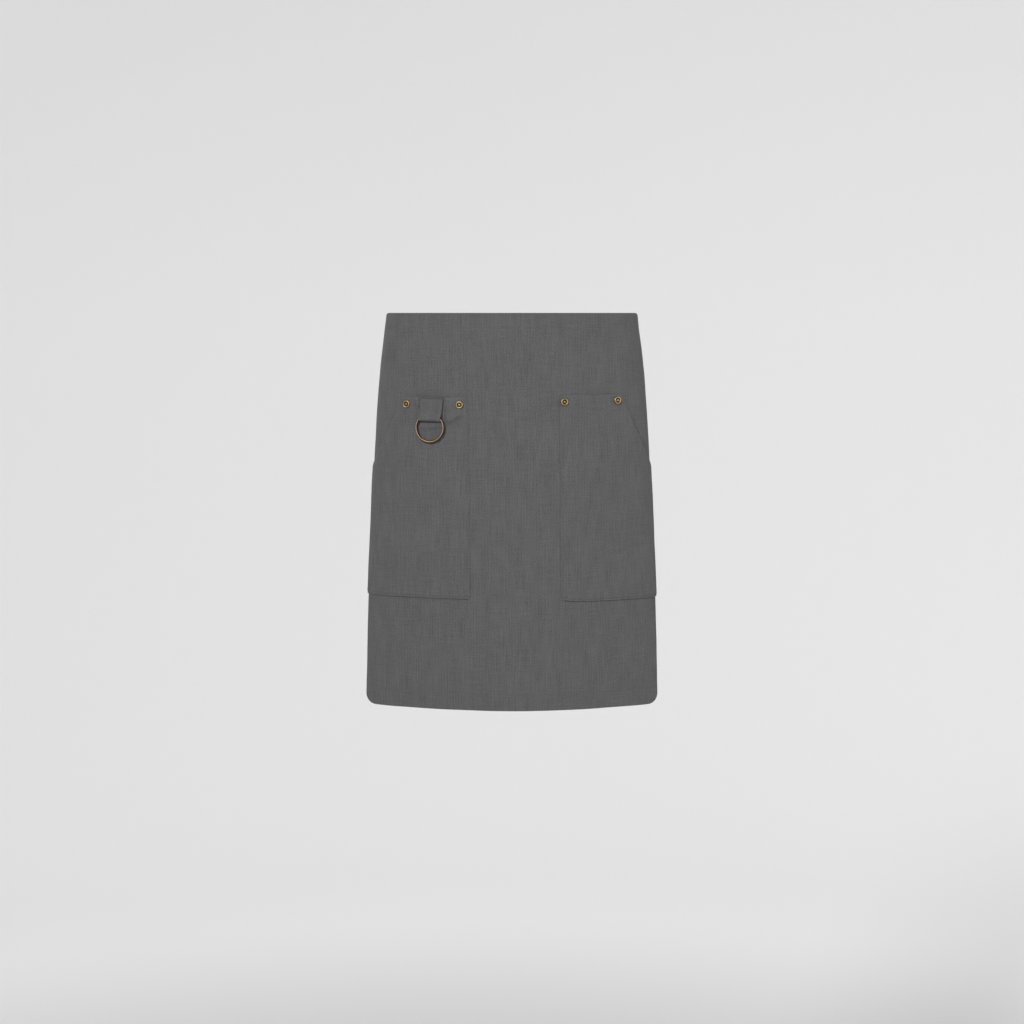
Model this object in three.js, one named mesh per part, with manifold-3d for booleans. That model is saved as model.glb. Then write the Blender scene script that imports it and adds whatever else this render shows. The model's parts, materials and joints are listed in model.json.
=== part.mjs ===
// Waist apron in its worn form: a curved cloth panel, two patch pockets held by rivets,
// a cloth loop with a D-ring, and a flat tie round the back.
// Millimetres, +Z up. The origin is the middle of the waist opening, level with the top edge.
// The front faces -Y. Places on the panel are given as seen from the front: how far across
// from the middle, and how far down from the top edge.
import * as THREE from 'three';
import { mergeVertices } from 'three/addons/utils/BufferGeometryUtils.js';
import Module from 'manifold-3d';

const { clamp, degToRad, lerp } = THREE.MathUtils;
const wasm = await Module();
wasm.setup();

// Cloth
const LENGTH = 500; // top edge to hem, down the middle of the front
const CLOTH = 1; // one layer
const TURNING = 0.6; // extra thickness where an edge is turned in and pressed
const TURNING_EASE = 1.2; // width of the step from one layer to the turned edge
const TOP_TURNING = 19; // depth of the turned top edge
const HEM_TURNING = 20;
const SIDE_TURNING = 12;
const MOUTH_TURNING = 18; // depth of the turned edge along a pocket's mouth
const TOP_CORNER = 3.5; // corner radii of the panel, seen from the front
const HEM_CORNER = 13;
const GAP = 0.3; // between pieces that lie on each other

// Worn sections of the panel, from the top edge to the hem. front is how far the middle stands
// before the origin, bow how far the panel falls back from there to its sides, roll the radius
// of the bend beside the hips, and grip how much of that bend the body takes up.
const SECTIONS = [
  { drop: 0, halfWidth: 160.0, front: 112.0, bow: 40.0, roll: 36.0, grip: 0.97 },
  { drop: 20, halfWidth: 162.0, front: 112.4, bow: 40.3, roll: 35.2, grip: 0.955 },
  { drop: 60, halfWidth: 166.8, front: 113.2, bow: 40.7, roll: 33.8, grip: 0.93 },
  { drop: 110, halfWidth: 171.2, front: 114.2, bow: 41.3, roll: 32.0, grip: 0.89 },
  { drop: 180, halfWidth: 175.7, front: 115.4, bow: 42.2, roll: 29.5, grip: 0.84 },
  { drop: 270, halfWidth: 180.0, front: 116.6, bow: 43.2, roll: 26.2, grip: 0.78 },
  { drop: 360, halfWidth: 184.1, front: 117.4, bow: 44.3, roll: 23.0, grip: 0.72 },
  { drop: LENGTH, halfWidth: 188.3, front: 118.0, bow: 46.0, roll: 18.0, grip: 0.62 },
];
const ROLL_SHARPNESS = 16; // power that keeps the bend near the sides

// Soft hanging folds that deepen from the hips to the hem; a positive depth is a hollow
const FOLDS = [
  { across: -128, width: 34, depth: 1.6 },
  { across: -64, width: 26, depth: 1.2 },
  { across: 6, width: 48, depth: -1.4 },
  { across: 132, width: 30, depth: 2.2 },
];
const FOLDS_START = 150; // drop where the folds begin

// Pockets: inner edge at the top and at the bottom, drops of the top and bottom edges, and the
// slanted mouth from its corner on the top edge to its end on the panel's side
const POCKETS = [
  { name: 'pocket_left', side: -1, innerTop: 55, innerLow: 52, top: 104.5, bottom: 357.5, corner: 138, mouthEnd: 190 },
  { name: 'pocket_right', side: 1, innerTop: 59, innerLow: 62, top: 101.8, bottom: 361.5, corner: 138, mouthEnd: 190 },
];
const POCKET_GAPE = 2.4; // how far an empty pocket stands off the panel at its fullest
const SIDE_GAPE = 0.3; // share of that round the side bend
const GAPE_AT_MOUTH = 0.25; // how far along its swell the pocket is cut open

// Rivets through the pockets' upper corners
const RIVETS = [
  { name: 'rivet_left_outer', pocket: 'pocket_left', across: 131.4, drop: 113.7 },
  { name: 'rivet_left_inner', pocket: 'pocket_left', across: 65, drop: 113.9 },
  { name: 'rivet_right_inner', pocket: 'pocket_right', across: 64.9, drop: 110.3 },
  { name: 'rivet_right_outer', pocket: 'pocket_right', across: 131.3, drop: 109 },
];
const RIVET_RADIUS = 4.9;
const RIVET_HEIGHT = 2;
const RIVET_SHANK = 1.7;
const RIVET_BACK = 4.2; // radius of the closed end behind the panel
const RIVET_BACK_HEIGHT = 1.1;
const RIVET_GROOVE = 0.3; // depth of the groove inside the cap's rim
const RIVET_SEGMENTS = 18;

// D-ring and the loop that holds its bar
const RING_ACROSS = -100.2; // the place on the pocket behind the middle of the bar
const RING_DROP = 132;
const RING_ROLL = degToRad(2); // the bar's right end hangs lower
const RING_RADIUS = 17.7; // to the middle of the wire
const RING_BAR = 10.5; // height of the bar above the round part's centre
const RING_BEND = 2.2; // bend radius at the ends of the bar
const WIRE = 1.5; // wire radius
const BORE_CLEARANCE = 0.35;
const LOOP_HEIGHT = 26.9; // bar to the loop's sewn top edge
const LOOP_TOP_WIDTH = 29.3;
const LOOP_LOW_WIDTH = 27.4;
const LOOP_LEAN = 0.025; // sideways lean of the loop for each unit of height
const LOOP_CLOSES = 11; // height where its two layers meet
const LOOP_STAND_OFF = 0.9; // gap between the fold and the pocket
const LOOP_SETTLES = 0.8; // how much closer its sewn top lies

// Tie
const TIE_WIDTH = 30;
const TIE_THICKNESS = 1.6;
const TIE_DROP = 4;
const TIE_OVERLAP = degToRad(24); // how far its ends reach inside the panel, as a panel angle
const TIE_BACK = 152; // depth of the tie's curve behind the panel's sides

// Fineness of the meshes
const PANEL_COLUMNS = 60;
const PANEL_ROWS = 14;
const POCKET_COLUMNS = 12; // to each side of the mouth's corner
const POCKET_ROWS = 8;
const RING_STEPS = 60;
const RING_SIDES = 10;
const TIE_END_STEPS = 6;
const TIE_BACK_STEPS = 36;
const SIDE = Math.PI / 2; // panel angle of its side edge
const ANGLE_STEP = 0.01; // steps for the slopes of a surface
const DROP_STEP = 0.5;

const COLUMNS = ['halfWidth', 'front', 'bow', 'roll', 'grip'];
const sections = new THREE.CubicInterpolant(
  SECTIONS.map((row) => row.drop),
  SECTIONS.flatMap((row) => COLUMNS.map((column) => row[column])),
  COLUMNS.length,
);

/** The worn section at a drop, with the columns of the table. */
function sectionAt(drop) {
  const values = sections.evaluate(clamp(drop, 0, LENGTH));
  return Object.fromEntries(COLUMNS.map((column, i) => [column, values[i]]));
}

/** Panel angle of a place given as seen from the front: 0 in the middle, SIDE at the side edge. */
function angleAt(across, drop) {
  return Math.asin(clamp(across / sectionAt(drop).halfWidth, -1, 1));
}

/** How far the hanging folds push the panel in at a place. */
function foldAt(across, drop) {
  const fall = clamp((drop - FOLDS_START) / (LENGTH - FOLDS_START), 0, 1);
  const depths = FOLDS.map((fold) => fold.depth * Math.exp(-(((across - fold.across) / fold.width) ** 2)));
  return fall ** 1.5 * depths.reduce((sum, depth) => sum + depth, 0);
}

/** A point of the panel's outer face. */
function facePoint(angle, drop) {
  const { halfWidth, front, bow, roll, grip } = sectionAt(drop);
  const share = Math.sin(angle);
  const bend = roll * (1 - Math.sqrt(1 - grip * Math.abs(share) ** ROLL_SHARPNESS));
  const across = halfWidth * share;
  return new THREE.Vector3(across, bow * share ** 2 + bend + foldAt(across, drop) - front, -drop);
}

/** The unit vectors right, up and out of the panel's outer face at a place. */
function faceFrame(angle, drop) {
  const right = facePoint(Math.min(angle + ANGLE_STEP, SIDE), drop);
  right.sub(facePoint(Math.max(angle - ANGLE_STEP, -SIDE), drop)).normalize();
  const up = facePoint(angle, Math.max(drop - DROP_STEP, 0));
  up.sub(facePoint(angle, Math.min(drop + DROP_STEP, LENGTH)));
  const out = right.clone().cross(up).normalize();
  return { right, up: out.clone().cross(right), out };
}

/** A point that stands off the panel's outer face by a distance. */
function offPanel(angle, drop, off) {
  return facePoint(angle, drop).addScaledVector(faceFrame(angle, drop).out, off);
}

/** How far a rounded corner has drawn back from the edge, at a distance in from the side. */
function cornerRise(inside, radius) {
  return inside < radius ? radius - Math.sqrt(radius ** 2 - (radius - inside) ** 2) : 0;
}

/** Share of the turned edge's extra thickness at a distance in from the edge. */
function turningAt(inside, width) {
  return clamp((width - inside) / TURNING_EASE + 0.5, 0, 1);
}

/**
 * A closed body through rings of points. A ring runs down the outer face of a wall and back up
 * its inner face. An open run of rings gets a face at each end.
 */
function loft(rings, closed = false) {
  const count = rings[0].length;
  const index = [];
  const at = (ring, k) => (ring % rings.length) * count + (k % count);
  const quad = (a, b, c, d) => index.push(a, b, c, a, c, d);
  const spans = closed ? rings.length : rings.length - 1;
  for (let ring = 0; ring < spans; ring += 1) {
    for (let k = 0; k < count; k += 1) {
      quad(at(ring, k), at(ring, k + 1), at(ring + 1, k + 1), at(ring + 1, k));
    }
  }
  if (!closed) {
    const last = rings.length - 1;
    for (let k = 0; k < count / 2 - 1; k += 1) {
      const back = count - 1 - k;
      quad(at(0, k), at(0, back), at(0, back - 1), at(0, k + 1));
      quad(at(last, k), at(last, k + 1), at(last, back - 1), at(last, back));
    }
  }
  const geometry = new THREE.BufferGeometry();
  const positions = rings.flat().flatMap((point) => point.toArray());
  geometry.setAttribute('position', new THREE.Float32BufferAttribute(positions, 3));
  geometry.setIndex(index);
  geometry.computeVertexNormals();
  return geometry;
}

/** A closed geometry as a solid that can be cut. */
function toSolid(geometry) {
  const bare = new THREE.BufferGeometry();
  bare.setAttribute('position', geometry.getAttribute('position'));
  bare.setIndex(geometry.index);
  const merged = mergeVertices(bare);
  return new wasm.Manifold(new wasm.Mesh({
    numProp: 3,
    vertProperties: new Float32Array(merged.attributes.position.array),
    triVerts: new Uint32Array(merged.index.array),
  }));
}

/** A geometry with other geometries cut out of it. */
function cut(geometry, tools) {
  const solid = tools.reduce((left, tool) => left.subtract(toSolid(tool)), toSolid(geometry));
  const mesh = solid.getMesh();
  const result = new THREE.BufferGeometry();
  result.setAttribute('position', new THREE.Float32BufferAttribute(mesh.vertProperties, 3));
  result.setIndex(Array.from(mesh.triVerts));
  result.computeVertexNormals();
  return result;
}

/** A named mesh in its own material. */
function piece(name, geometry, look) {
  const mesh = new THREE.Mesh(geometry, new THREE.MeshStandardMaterial(look));
  mesh.name = name;
  return mesh;
}

const TWILL = { color: 0x5f5f5f, roughness: 0.92, metalness: 0 };
const BRASS = { color: 0x9c8150, roughness: 0.42, metalness: 1 };
const COPPER = { color: 0x8a6a55, roughness: 0.36, metalness: 1 };

/** The panel's wall between its outer face and the body. */
function panelWall() {
  const ends = [0, LENGTH];
  const [topWidth, hemWidth] = ends.map((drop) => sectionAt(drop).halfWidth);
  const ease = TURNING_EASE / 2;
  const first = TOP_TURNING + ease;
  const last = LENGTH - HEM_TURNING - ease;
  const drops = [0, TOP_TURNING - ease];
  for (let row = 0; row <= PANEL_ROWS; row += 1) {
    drops.push(lerp(first, last, row / PANEL_ROWS));
  }
  drops.push(LENGTH - HEM_TURNING + ease, LENGTH);
  const rings = [];
  for (let column = 0; column <= PANEL_COLUMNS; column += 1) {
    const angle = lerp(-SIDE, SIDE, column / PANEL_COLUMNS);
    const inside = 1 - Math.abs(Math.sin(angle));
    const top = cornerRise(inside * topWidth, TOP_CORNER);
    const bottom = LENGTH - cornerRise(inside * hemWidth, HEM_CORNER);
    const places = drops.map((drop) => lerp(top, bottom, drop / LENGTH));
    const outer = places.map((drop) => facePoint(angle, drop));
    const inner = places.map((drop, row) => {
      const toSide = facePoint(angle, drop).distanceTo(facePoint(Math.sign(angle) * SIDE, drop));
      const turned = Math.max(
        turningAt(drops[row], TOP_TURNING),
        turningAt(LENGTH - drops[row], HEM_TURNING),
        turningAt(toSide, SIDE_TURNING),
      );
      return offPanel(angle, drop, -CLOTH - TURNING * turned);
    });
    rings.push([...outer, ...inner.reverse()]);
  }
  return loft(rings);
}

/** Inner edge of a pocket at a drop. */
function innerEdge(pocket, drop) {
  return lerp(pocket.innerTop, pocket.innerLow, (drop - pocket.top) / (pocket.bottom - pocket.top));
}

/**
 * How far a pocket's outer face stands off the panel. column runs from 0 at the inner edge
 * over 1 at the mouth's corner to 2 at the side, and row from 0 at the mouth to 1 at the bottom.
 */
function pocketOff(column, row) {
  const swell = Math.abs(Math.sin(Math.PI * column)) * (column < 1 ? 1 : SIDE_GAPE);
  const hang = Math.sin(Math.PI * lerp(GAPE_AT_MOUTH, 1, row));
  return GAP + CLOTH + TURNING + POCKET_GAPE * swell * hang;
}

/** The panel angle, drop and stand-off of a pocket's outer face at a place seen from the front. */
function pocketSpot(pocket, across, drop) {
  const inner = innerEdge(pocket, drop);
  const column = (across - inner) / (pocket.corner - inner);
  const row = (drop - pocket.top) / (pocket.bottom - pocket.top);
  return { angle: pocket.side * angleAt(across, drop), drop, off: pocketOff(column, row) };
}

/** A pocket's wall, from its inner edge round to the panel's side. */
function pocketWall(pocket) {
  const cornerAngle = angleAt(pocket.corner, pocket.top);
  const rings = [];
  for (let step = 0; step <= 2 * POCKET_COLUMNS; step += 1) {
    const column = step / POCKET_COLUMNS;
    const past = Math.max(column - 1, 0);
    const slant = Math.sin(lerp(cornerAngle, SIDE, past)) - Math.sin(cornerAngle);
    const mouth = lerp(pocket.top, pocket.mouthEnd, slant / (1 - Math.sin(cornerAngle)));
    const drops = [mouth, mouth + MOUTH_TURNING - TURNING_EASE / 2];
    for (let row = 0; row <= POCKET_ROWS; row += 1) {
      drops.push(lerp(mouth + MOUTH_TURNING + TURNING_EASE / 2, pocket.bottom, row / POCKET_ROWS));
    }
    const wall = drops.map((drop) => {
      const angle = column < 1
        ? angleAt(lerp(innerEdge(pocket, drop), pocket.corner, column), drop)
        : lerp(angleAt(pocket.corner, drop), SIDE, past);
      const off = pocketOff(column, (drop - mouth) / (pocket.bottom - mouth));
      const thickness = CLOTH + TURNING * turningAt(drop - mouth, MOUTH_TURNING);
      return [off, off - thickness].map((distance) => offPanel(pocket.side * angle, drop, distance));
    });
    const outer = wall.map((points) => points[0]);
    const inner = wall.map((points) => points[1]);
    rings.push([...outer, ...inner.reverse()]);
  }
  return loft(pocket.side < 0 ? rings.reverse() : rings);
}

/** A rivet's outline from the front of its cap to the closed end behind, turned round its axis. */
function rivetBody(stack) {
  const cap = [
    [0, RIVET_HEIGHT * 0.84],
    [RIVET_RADIUS * 0.4, RIVET_HEIGHT * 0.8],
    [RIVET_RADIUS * 0.5, RIVET_HEIGHT * 0.8 - RIVET_GROOVE],
    [RIVET_RADIUS * 0.62, RIVET_HEIGHT * 0.8 - RIVET_GROOVE],
    [RIVET_RADIUS * 0.72, RIVET_HEIGHT],
    [RIVET_RADIUS * 0.88, RIVET_HEIGHT * 0.86],
    [RIVET_RADIUS, RIVET_HEIGHT * 0.4],
    [RIVET_RADIUS * 0.96, 0],
    [RIVET_SHANK, 0],
  ];
  const back = [
    [RIVET_SHANK, -stack],
    [RIVET_BACK, -stack],
    [RIVET_BACK, -stack - RIVET_BACK_HEIGHT * 0.5],
    [RIVET_BACK * 0.7, -stack - RIVET_BACK_HEIGHT],
    [0, -stack - RIVET_BACK_HEIGHT],
  ];
  const outline = [...cap, ...back].map(([radius, height]) => new THREE.Vector2(radius, height));
  return new THREE.LatheGeometry(outline.reverse(), RIVET_SEGMENTS);
}

/** Where a rivet sits: the underside of its cap, the way it faces, and the cloth it clamps. */
function rivetSeat(rivet) {
  const pocket = POCKETS.find((row) => row.name === rivet.pocket);
  const { angle, drop, off } = pocketSpot(pocket, rivet.across, rivet.drop);
  const turn = new THREE.Quaternion();
  turn.setFromUnitVectors(new THREE.Vector3(0, 1, 0), faceFrame(angle, drop).out);
  return { place: offPanel(angle, drop, off + GAP), turn, stack: off + CLOTH + 2 * GAP };
}

/** The hole that a rivet's shank passes through. */
function rivetHole(rivet) {
  const { place, turn, stack } = rivetSeat(rivet);
  const hole = new THREE.CylinderGeometry(RIVET_SHANK + GAP, RIVET_SHANK + GAP, 4 * stack, RIVET_SEGMENTS);
  return hole.applyQuaternion(turn).translate(place.x, place.y, place.z);
}

/** The D-ring, with the middle of its bar at the origin and its round part hanging down. */
function ringBody() {
  const bendAcross = Math.sqrt((RING_RADIUS - RING_BEND) ** 2 - (RING_BAR - RING_BEND) ** 2);
  const meets = Math.atan2(RING_BAR - RING_BEND, bendAcross);
  const outline = new THREE.Path();
  outline.absarc(bendAcross, -RING_BEND, RING_BEND, Math.PI / 2, meets, true);
  outline.absarc(0, -RING_BAR, RING_RADIUS, meets, Math.PI - meets, true);
  outline.absarc(-bendAcross, -RING_BEND, RING_BEND, Math.PI - meets, Math.PI / 2, true);
  outline.closePath();
  const rings = [];
  for (let step = 0; step < RING_STEPS; step += 1) {
    const share = step / RING_STEPS;
    const middle = outline.getPointAt(share);
    const along = outline.getTangentAt(share);
    const ahead = new THREE.Vector3(along.x, 0, along.y);
    const away = new THREE.Vector3(-along.y, 0, along.x);
    const aside = ahead.clone().cross(away);
    const ring = [];
    for (let side = 0; side < RING_SIDES; side += 1) {
      const turn = (2 * Math.PI * side) / RING_SIDES;
      const point = new THREE.Vector3(middle.x, 0, middle.y);
      point.addScaledVector(away, WIRE * Math.cos(turn)).addScaledVector(aside, WIRE * Math.sin(turn));
      ring.push(point);
    }
    rings.push(ring);
  }
  return loft(rings, true);
}

const LOOP_BORE = WIRE + BORE_CLEARANCE;
const LOOP_FOLD = LOOP_BORE + CLOTH; // outer radius of the fold under the bar

/** The loop's strip, folded under the bar, with its two layers sewn together above. */
function loopBody() {
  const strip = new THREE.Shape();
  const closed = LOOP_FOLD - 2 * CLOTH;
  strip.moveTo(LOOP_FOLD, LOOP_HEIGHT);
  strip.lineTo(closed, LOOP_HEIGHT);
  strip.lineTo(closed, LOOP_CLOSES);
  strip.bezierCurveTo(closed, LOOP_CLOSES / 2, -LOOP_FOLD, LOOP_CLOSES / 2, -LOOP_FOLD, 0);
  strip.absarc(0, 0, LOOP_FOLD, Math.PI, 2 * Math.PI, false);
  strip.closePath();
  const bore = new THREE.Path();
  bore.moveTo(LOOP_BORE, LOOP_CLOSES - CLOTH);
  bore.bezierCurveTo(LOOP_BORE - CLOTH, LOOP_CLOSES / 2, -LOOP_BORE, LOOP_CLOSES / 2, -LOOP_BORE, 0);
  bore.absarc(0, 0, LOOP_BORE, Math.PI, 2 * Math.PI, false);
  bore.closePath();
  strip.holes.push(bore);
  const body = new THREE.ExtrudeGeometry(strip, { depth: LOOP_LOW_WIDTH, bevelEnabled: false, curveSegments: 10 });
  body.translate(0, 0, -LOOP_LOW_WIDTH / 2);
  const [x, y, z] = [[1, 0, 0], [0, 1, 0], [0, 0, 1]].map((axis) => new THREE.Vector3(...axis));
  body.applyMatrix4(new THREE.Matrix4().makeBasis(y, z, x));
  const points = body.getAttribute('position');
  for (let i = 0; i < points.count; i += 1) {
    const height = Math.max(points.getZ(i), 0);
    const spread = lerp(1, LOOP_TOP_WIDTH / LOOP_LOW_WIDTH, height / LOOP_HEIGHT);
    points.setX(i, points.getX(i) * spread + LOOP_LEAN * height);
    points.setY(i, points.getY(i) + LOOP_SETTLES * (height / LOOP_HEIGHT));
  }
  body.computeVertexNormals();
  return body;
}

/** The loop and the ring, hung on the left pocket. */
function ringHanger() {
  const pocket = POCKETS.find((row) => row.side === Math.sign(RING_ACROSS));
  const { angle, drop, off } = pocketSpot(pocket, Math.abs(RING_ACROSS), RING_DROP);
  const { right, up, out } = faceFrame(angle, drop);
  const hanger = new THREE.Group();
  hanger.position.copy(offPanel(angle, drop, off + LOOP_STAND_OFF + LOOP_FOLD));
  hanger.quaternion.setFromRotationMatrix(new THREE.Matrix4().makeBasis(right, out.clone().negate(), up));
  hanger.rotateY(RING_ROLL);
  hanger.add(piece('ring_loop', loopBody(), TWILL), piece('d_ring', ringBody(), COPPER));
  return hanger;
}

/** The tie: sewn inside the panel's right corner, round the back, and inside the left corner. */
function tieBand() {
  const near = CLOTH + TURNING + GAP;
  const faces = [near, near + TIE_THICKNESS];
  const edges = [TIE_DROP, TIE_DROP + TIE_WIDTH];
  const ringOf = (pointAt) => {
    const [outer, inner] = faces.map((depth) => edges.map((drop) => pointAt(drop, depth)));
    return [...outer, ...inner.reverse()];
  };
  const rings = [];
  for (let step = 0; step < TIE_END_STEPS; step += 1) {
    const angle = SIDE - TIE_OVERLAP * (1 - step / TIE_END_STEPS);
    rings.push(ringOf((drop, depth) => offPanel(angle, drop, -depth)));
  }
  for (let step = 0; step <= TIE_BACK_STEPS; step += 1) {
    const round = (Math.PI * step) / TIE_BACK_STEPS;
    rings.push(ringOf((drop, depth) => {
      const end = offPanel(SIDE, drop, -depth);
      return new THREE.Vector3(
        end.x * Math.cos(round),
        end.y + (TIE_BACK - depth) * Math.sin(round),
        end.z,
      );
    }));
  }
  for (let step = TIE_END_STEPS - 1; step >= 0; step -= 1) {
    const angle = TIE_OVERLAP * (1 - step / TIE_END_STEPS) - SIDE;
    rings.push(ringOf((drop, depth) => offPanel(angle, drop, -depth)));
  }
  return loft(rings);
}

const apron = new THREE.Group();
apron.add(piece('panel', cut(panelWall(), RIVETS.map(rivetHole)), TWILL));
for (const pocket of POCKETS) {
  const holes = RIVETS.filter((rivet) => rivet.pocket === pocket.name).map(rivetHole);
  apron.add(piece(pocket.name, cut(pocketWall(pocket), holes), TWILL));
}
for (const rivet of RIVETS) {
  const { place, turn, stack } = rivetSeat(rivet);
  const mesh = piece(rivet.name, rivetBody(stack), BRASS);
  mesh.position.copy(place);
  mesh.quaternion.copy(turn);
  apron.add(mesh);
}
apron.add(ringHanger());
apron.add(piece('waist_tie', tieBand(), TWILL));

export default apron;
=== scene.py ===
"""The looks of a worn waist apron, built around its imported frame.

Lengths are millimetres unless a name says otherwise, and meshes are written in metres. A place on the
cloth is a length along it from the middle of the front, and a drop from the top edge. A place seen from
the front is a share of the panel's half-width at that drop, from -1 at the left side to 1 at the right.
"""

import json
import logging
import math
from collections.abc import Callable
from dataclasses import dataclass, field
from enum import Enum

import bmesh
import bpy
import numpy as np
from mathutils import Matrix, Vector

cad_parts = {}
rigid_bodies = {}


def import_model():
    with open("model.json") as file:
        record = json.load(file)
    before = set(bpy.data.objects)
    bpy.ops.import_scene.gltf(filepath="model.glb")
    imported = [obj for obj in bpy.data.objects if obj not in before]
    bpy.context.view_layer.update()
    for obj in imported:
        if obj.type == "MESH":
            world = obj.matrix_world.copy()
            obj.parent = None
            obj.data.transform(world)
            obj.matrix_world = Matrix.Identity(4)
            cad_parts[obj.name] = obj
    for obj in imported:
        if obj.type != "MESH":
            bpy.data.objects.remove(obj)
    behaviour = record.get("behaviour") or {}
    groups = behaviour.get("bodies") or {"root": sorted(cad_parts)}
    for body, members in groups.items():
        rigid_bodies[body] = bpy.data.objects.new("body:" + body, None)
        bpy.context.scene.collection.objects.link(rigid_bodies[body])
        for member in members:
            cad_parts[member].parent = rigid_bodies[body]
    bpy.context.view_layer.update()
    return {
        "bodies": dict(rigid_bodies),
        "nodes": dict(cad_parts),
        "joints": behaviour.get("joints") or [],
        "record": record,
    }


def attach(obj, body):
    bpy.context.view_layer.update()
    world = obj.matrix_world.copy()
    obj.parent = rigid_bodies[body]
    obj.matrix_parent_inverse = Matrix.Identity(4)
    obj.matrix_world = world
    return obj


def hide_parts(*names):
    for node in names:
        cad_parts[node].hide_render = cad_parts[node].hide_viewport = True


MM = 0.001
CLOTH_MAP = "cloth"
# Per-point mix of rubbed metal and stain; on the D-ring and the rivet caps' foot it also paints highlight
# and shade
WEAR_AND_PAINTED_LIGHT = "wear_and_painted_light"
THIN = "thin"
CROWD_STEPS = 1200
CROWD_GAIN = 5.0
CROWD_WIDTH = 5.0
MERGE = 1e-4
# Sockets of a Mix node that mixes colours
MIX_SHARE = 0
MIX_FROM = 6
MIX_TO = 7
MIX_OUT = 2
log = logging.getLogger("apron")

Array = np.ndarray
Place = Callable[[Array, Array], "Spots"]


class Slot(Enum):
    """Material slots of the record."""

    CLOTH = "cloth"
    RIVET = "rivet"
    RING = "ring"


class Body(Enum):
    """Bodies of the frame."""

    APRON = "root"
    RING = "d_ring"


def linear_colour(code: str) -> tuple[float, float, float, float]:
    """Turn an sRGB hex colour into linear light.

    Args:
        code: six hex digits.

    Returns:
        Red, green, blue and alpha.
    """
    channels = [int(code[i : i + 2], 16) / 255 for i in (0, 2, 4)]
    return (*(c / 12.92 if c <= 0.04045 else ((c + 0.055) / 1.055) ** 2.4 for c in channels), 1.0)


def add_node(
    tree: bpy.types.NodeTree, kind: str, settings: dict | None = None, inputs: dict | None = None
) -> bpy.types.Node:
    """Add a node with its settings and links.

    Args:
        tree: the material's or world's nodes.
        kind: the node's type.
        settings: values of the node's own properties.
        inputs: a value or an output to link, for each input by name or number.

    Returns:
        The node.
    """
    node = tree.nodes.new(kind)
    for name, value in (settings or {}).items():
        setattr(node, name, value)
    for name, value in (inputs or {}).items():
        if isinstance(value, bpy.types.NodeSocket):
            tree.links.new(value, node.inputs[name])
        else:
            node.inputs[name].default_value = value
    return node


def new_material(name: str) -> tuple[bpy.types.Material, bpy.types.NodeTree, bpy.types.Node]:
    """Make an empty material.

    Args:
        name: the material's name.

    Returns:
        The material, its nodes and its shader.
    """
    material = bpy.data.materials.new(name)
    material.use_nodes = True
    tree = material.node_tree
    tree.nodes.clear()
    shader = add_node(tree, "ShaderNodeBsdfPrincipled")
    add_node(tree, "ShaderNodeOutputMaterial", inputs={"Surface": shader.outputs["BSDF"]})
    return material, tree, shader


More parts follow.
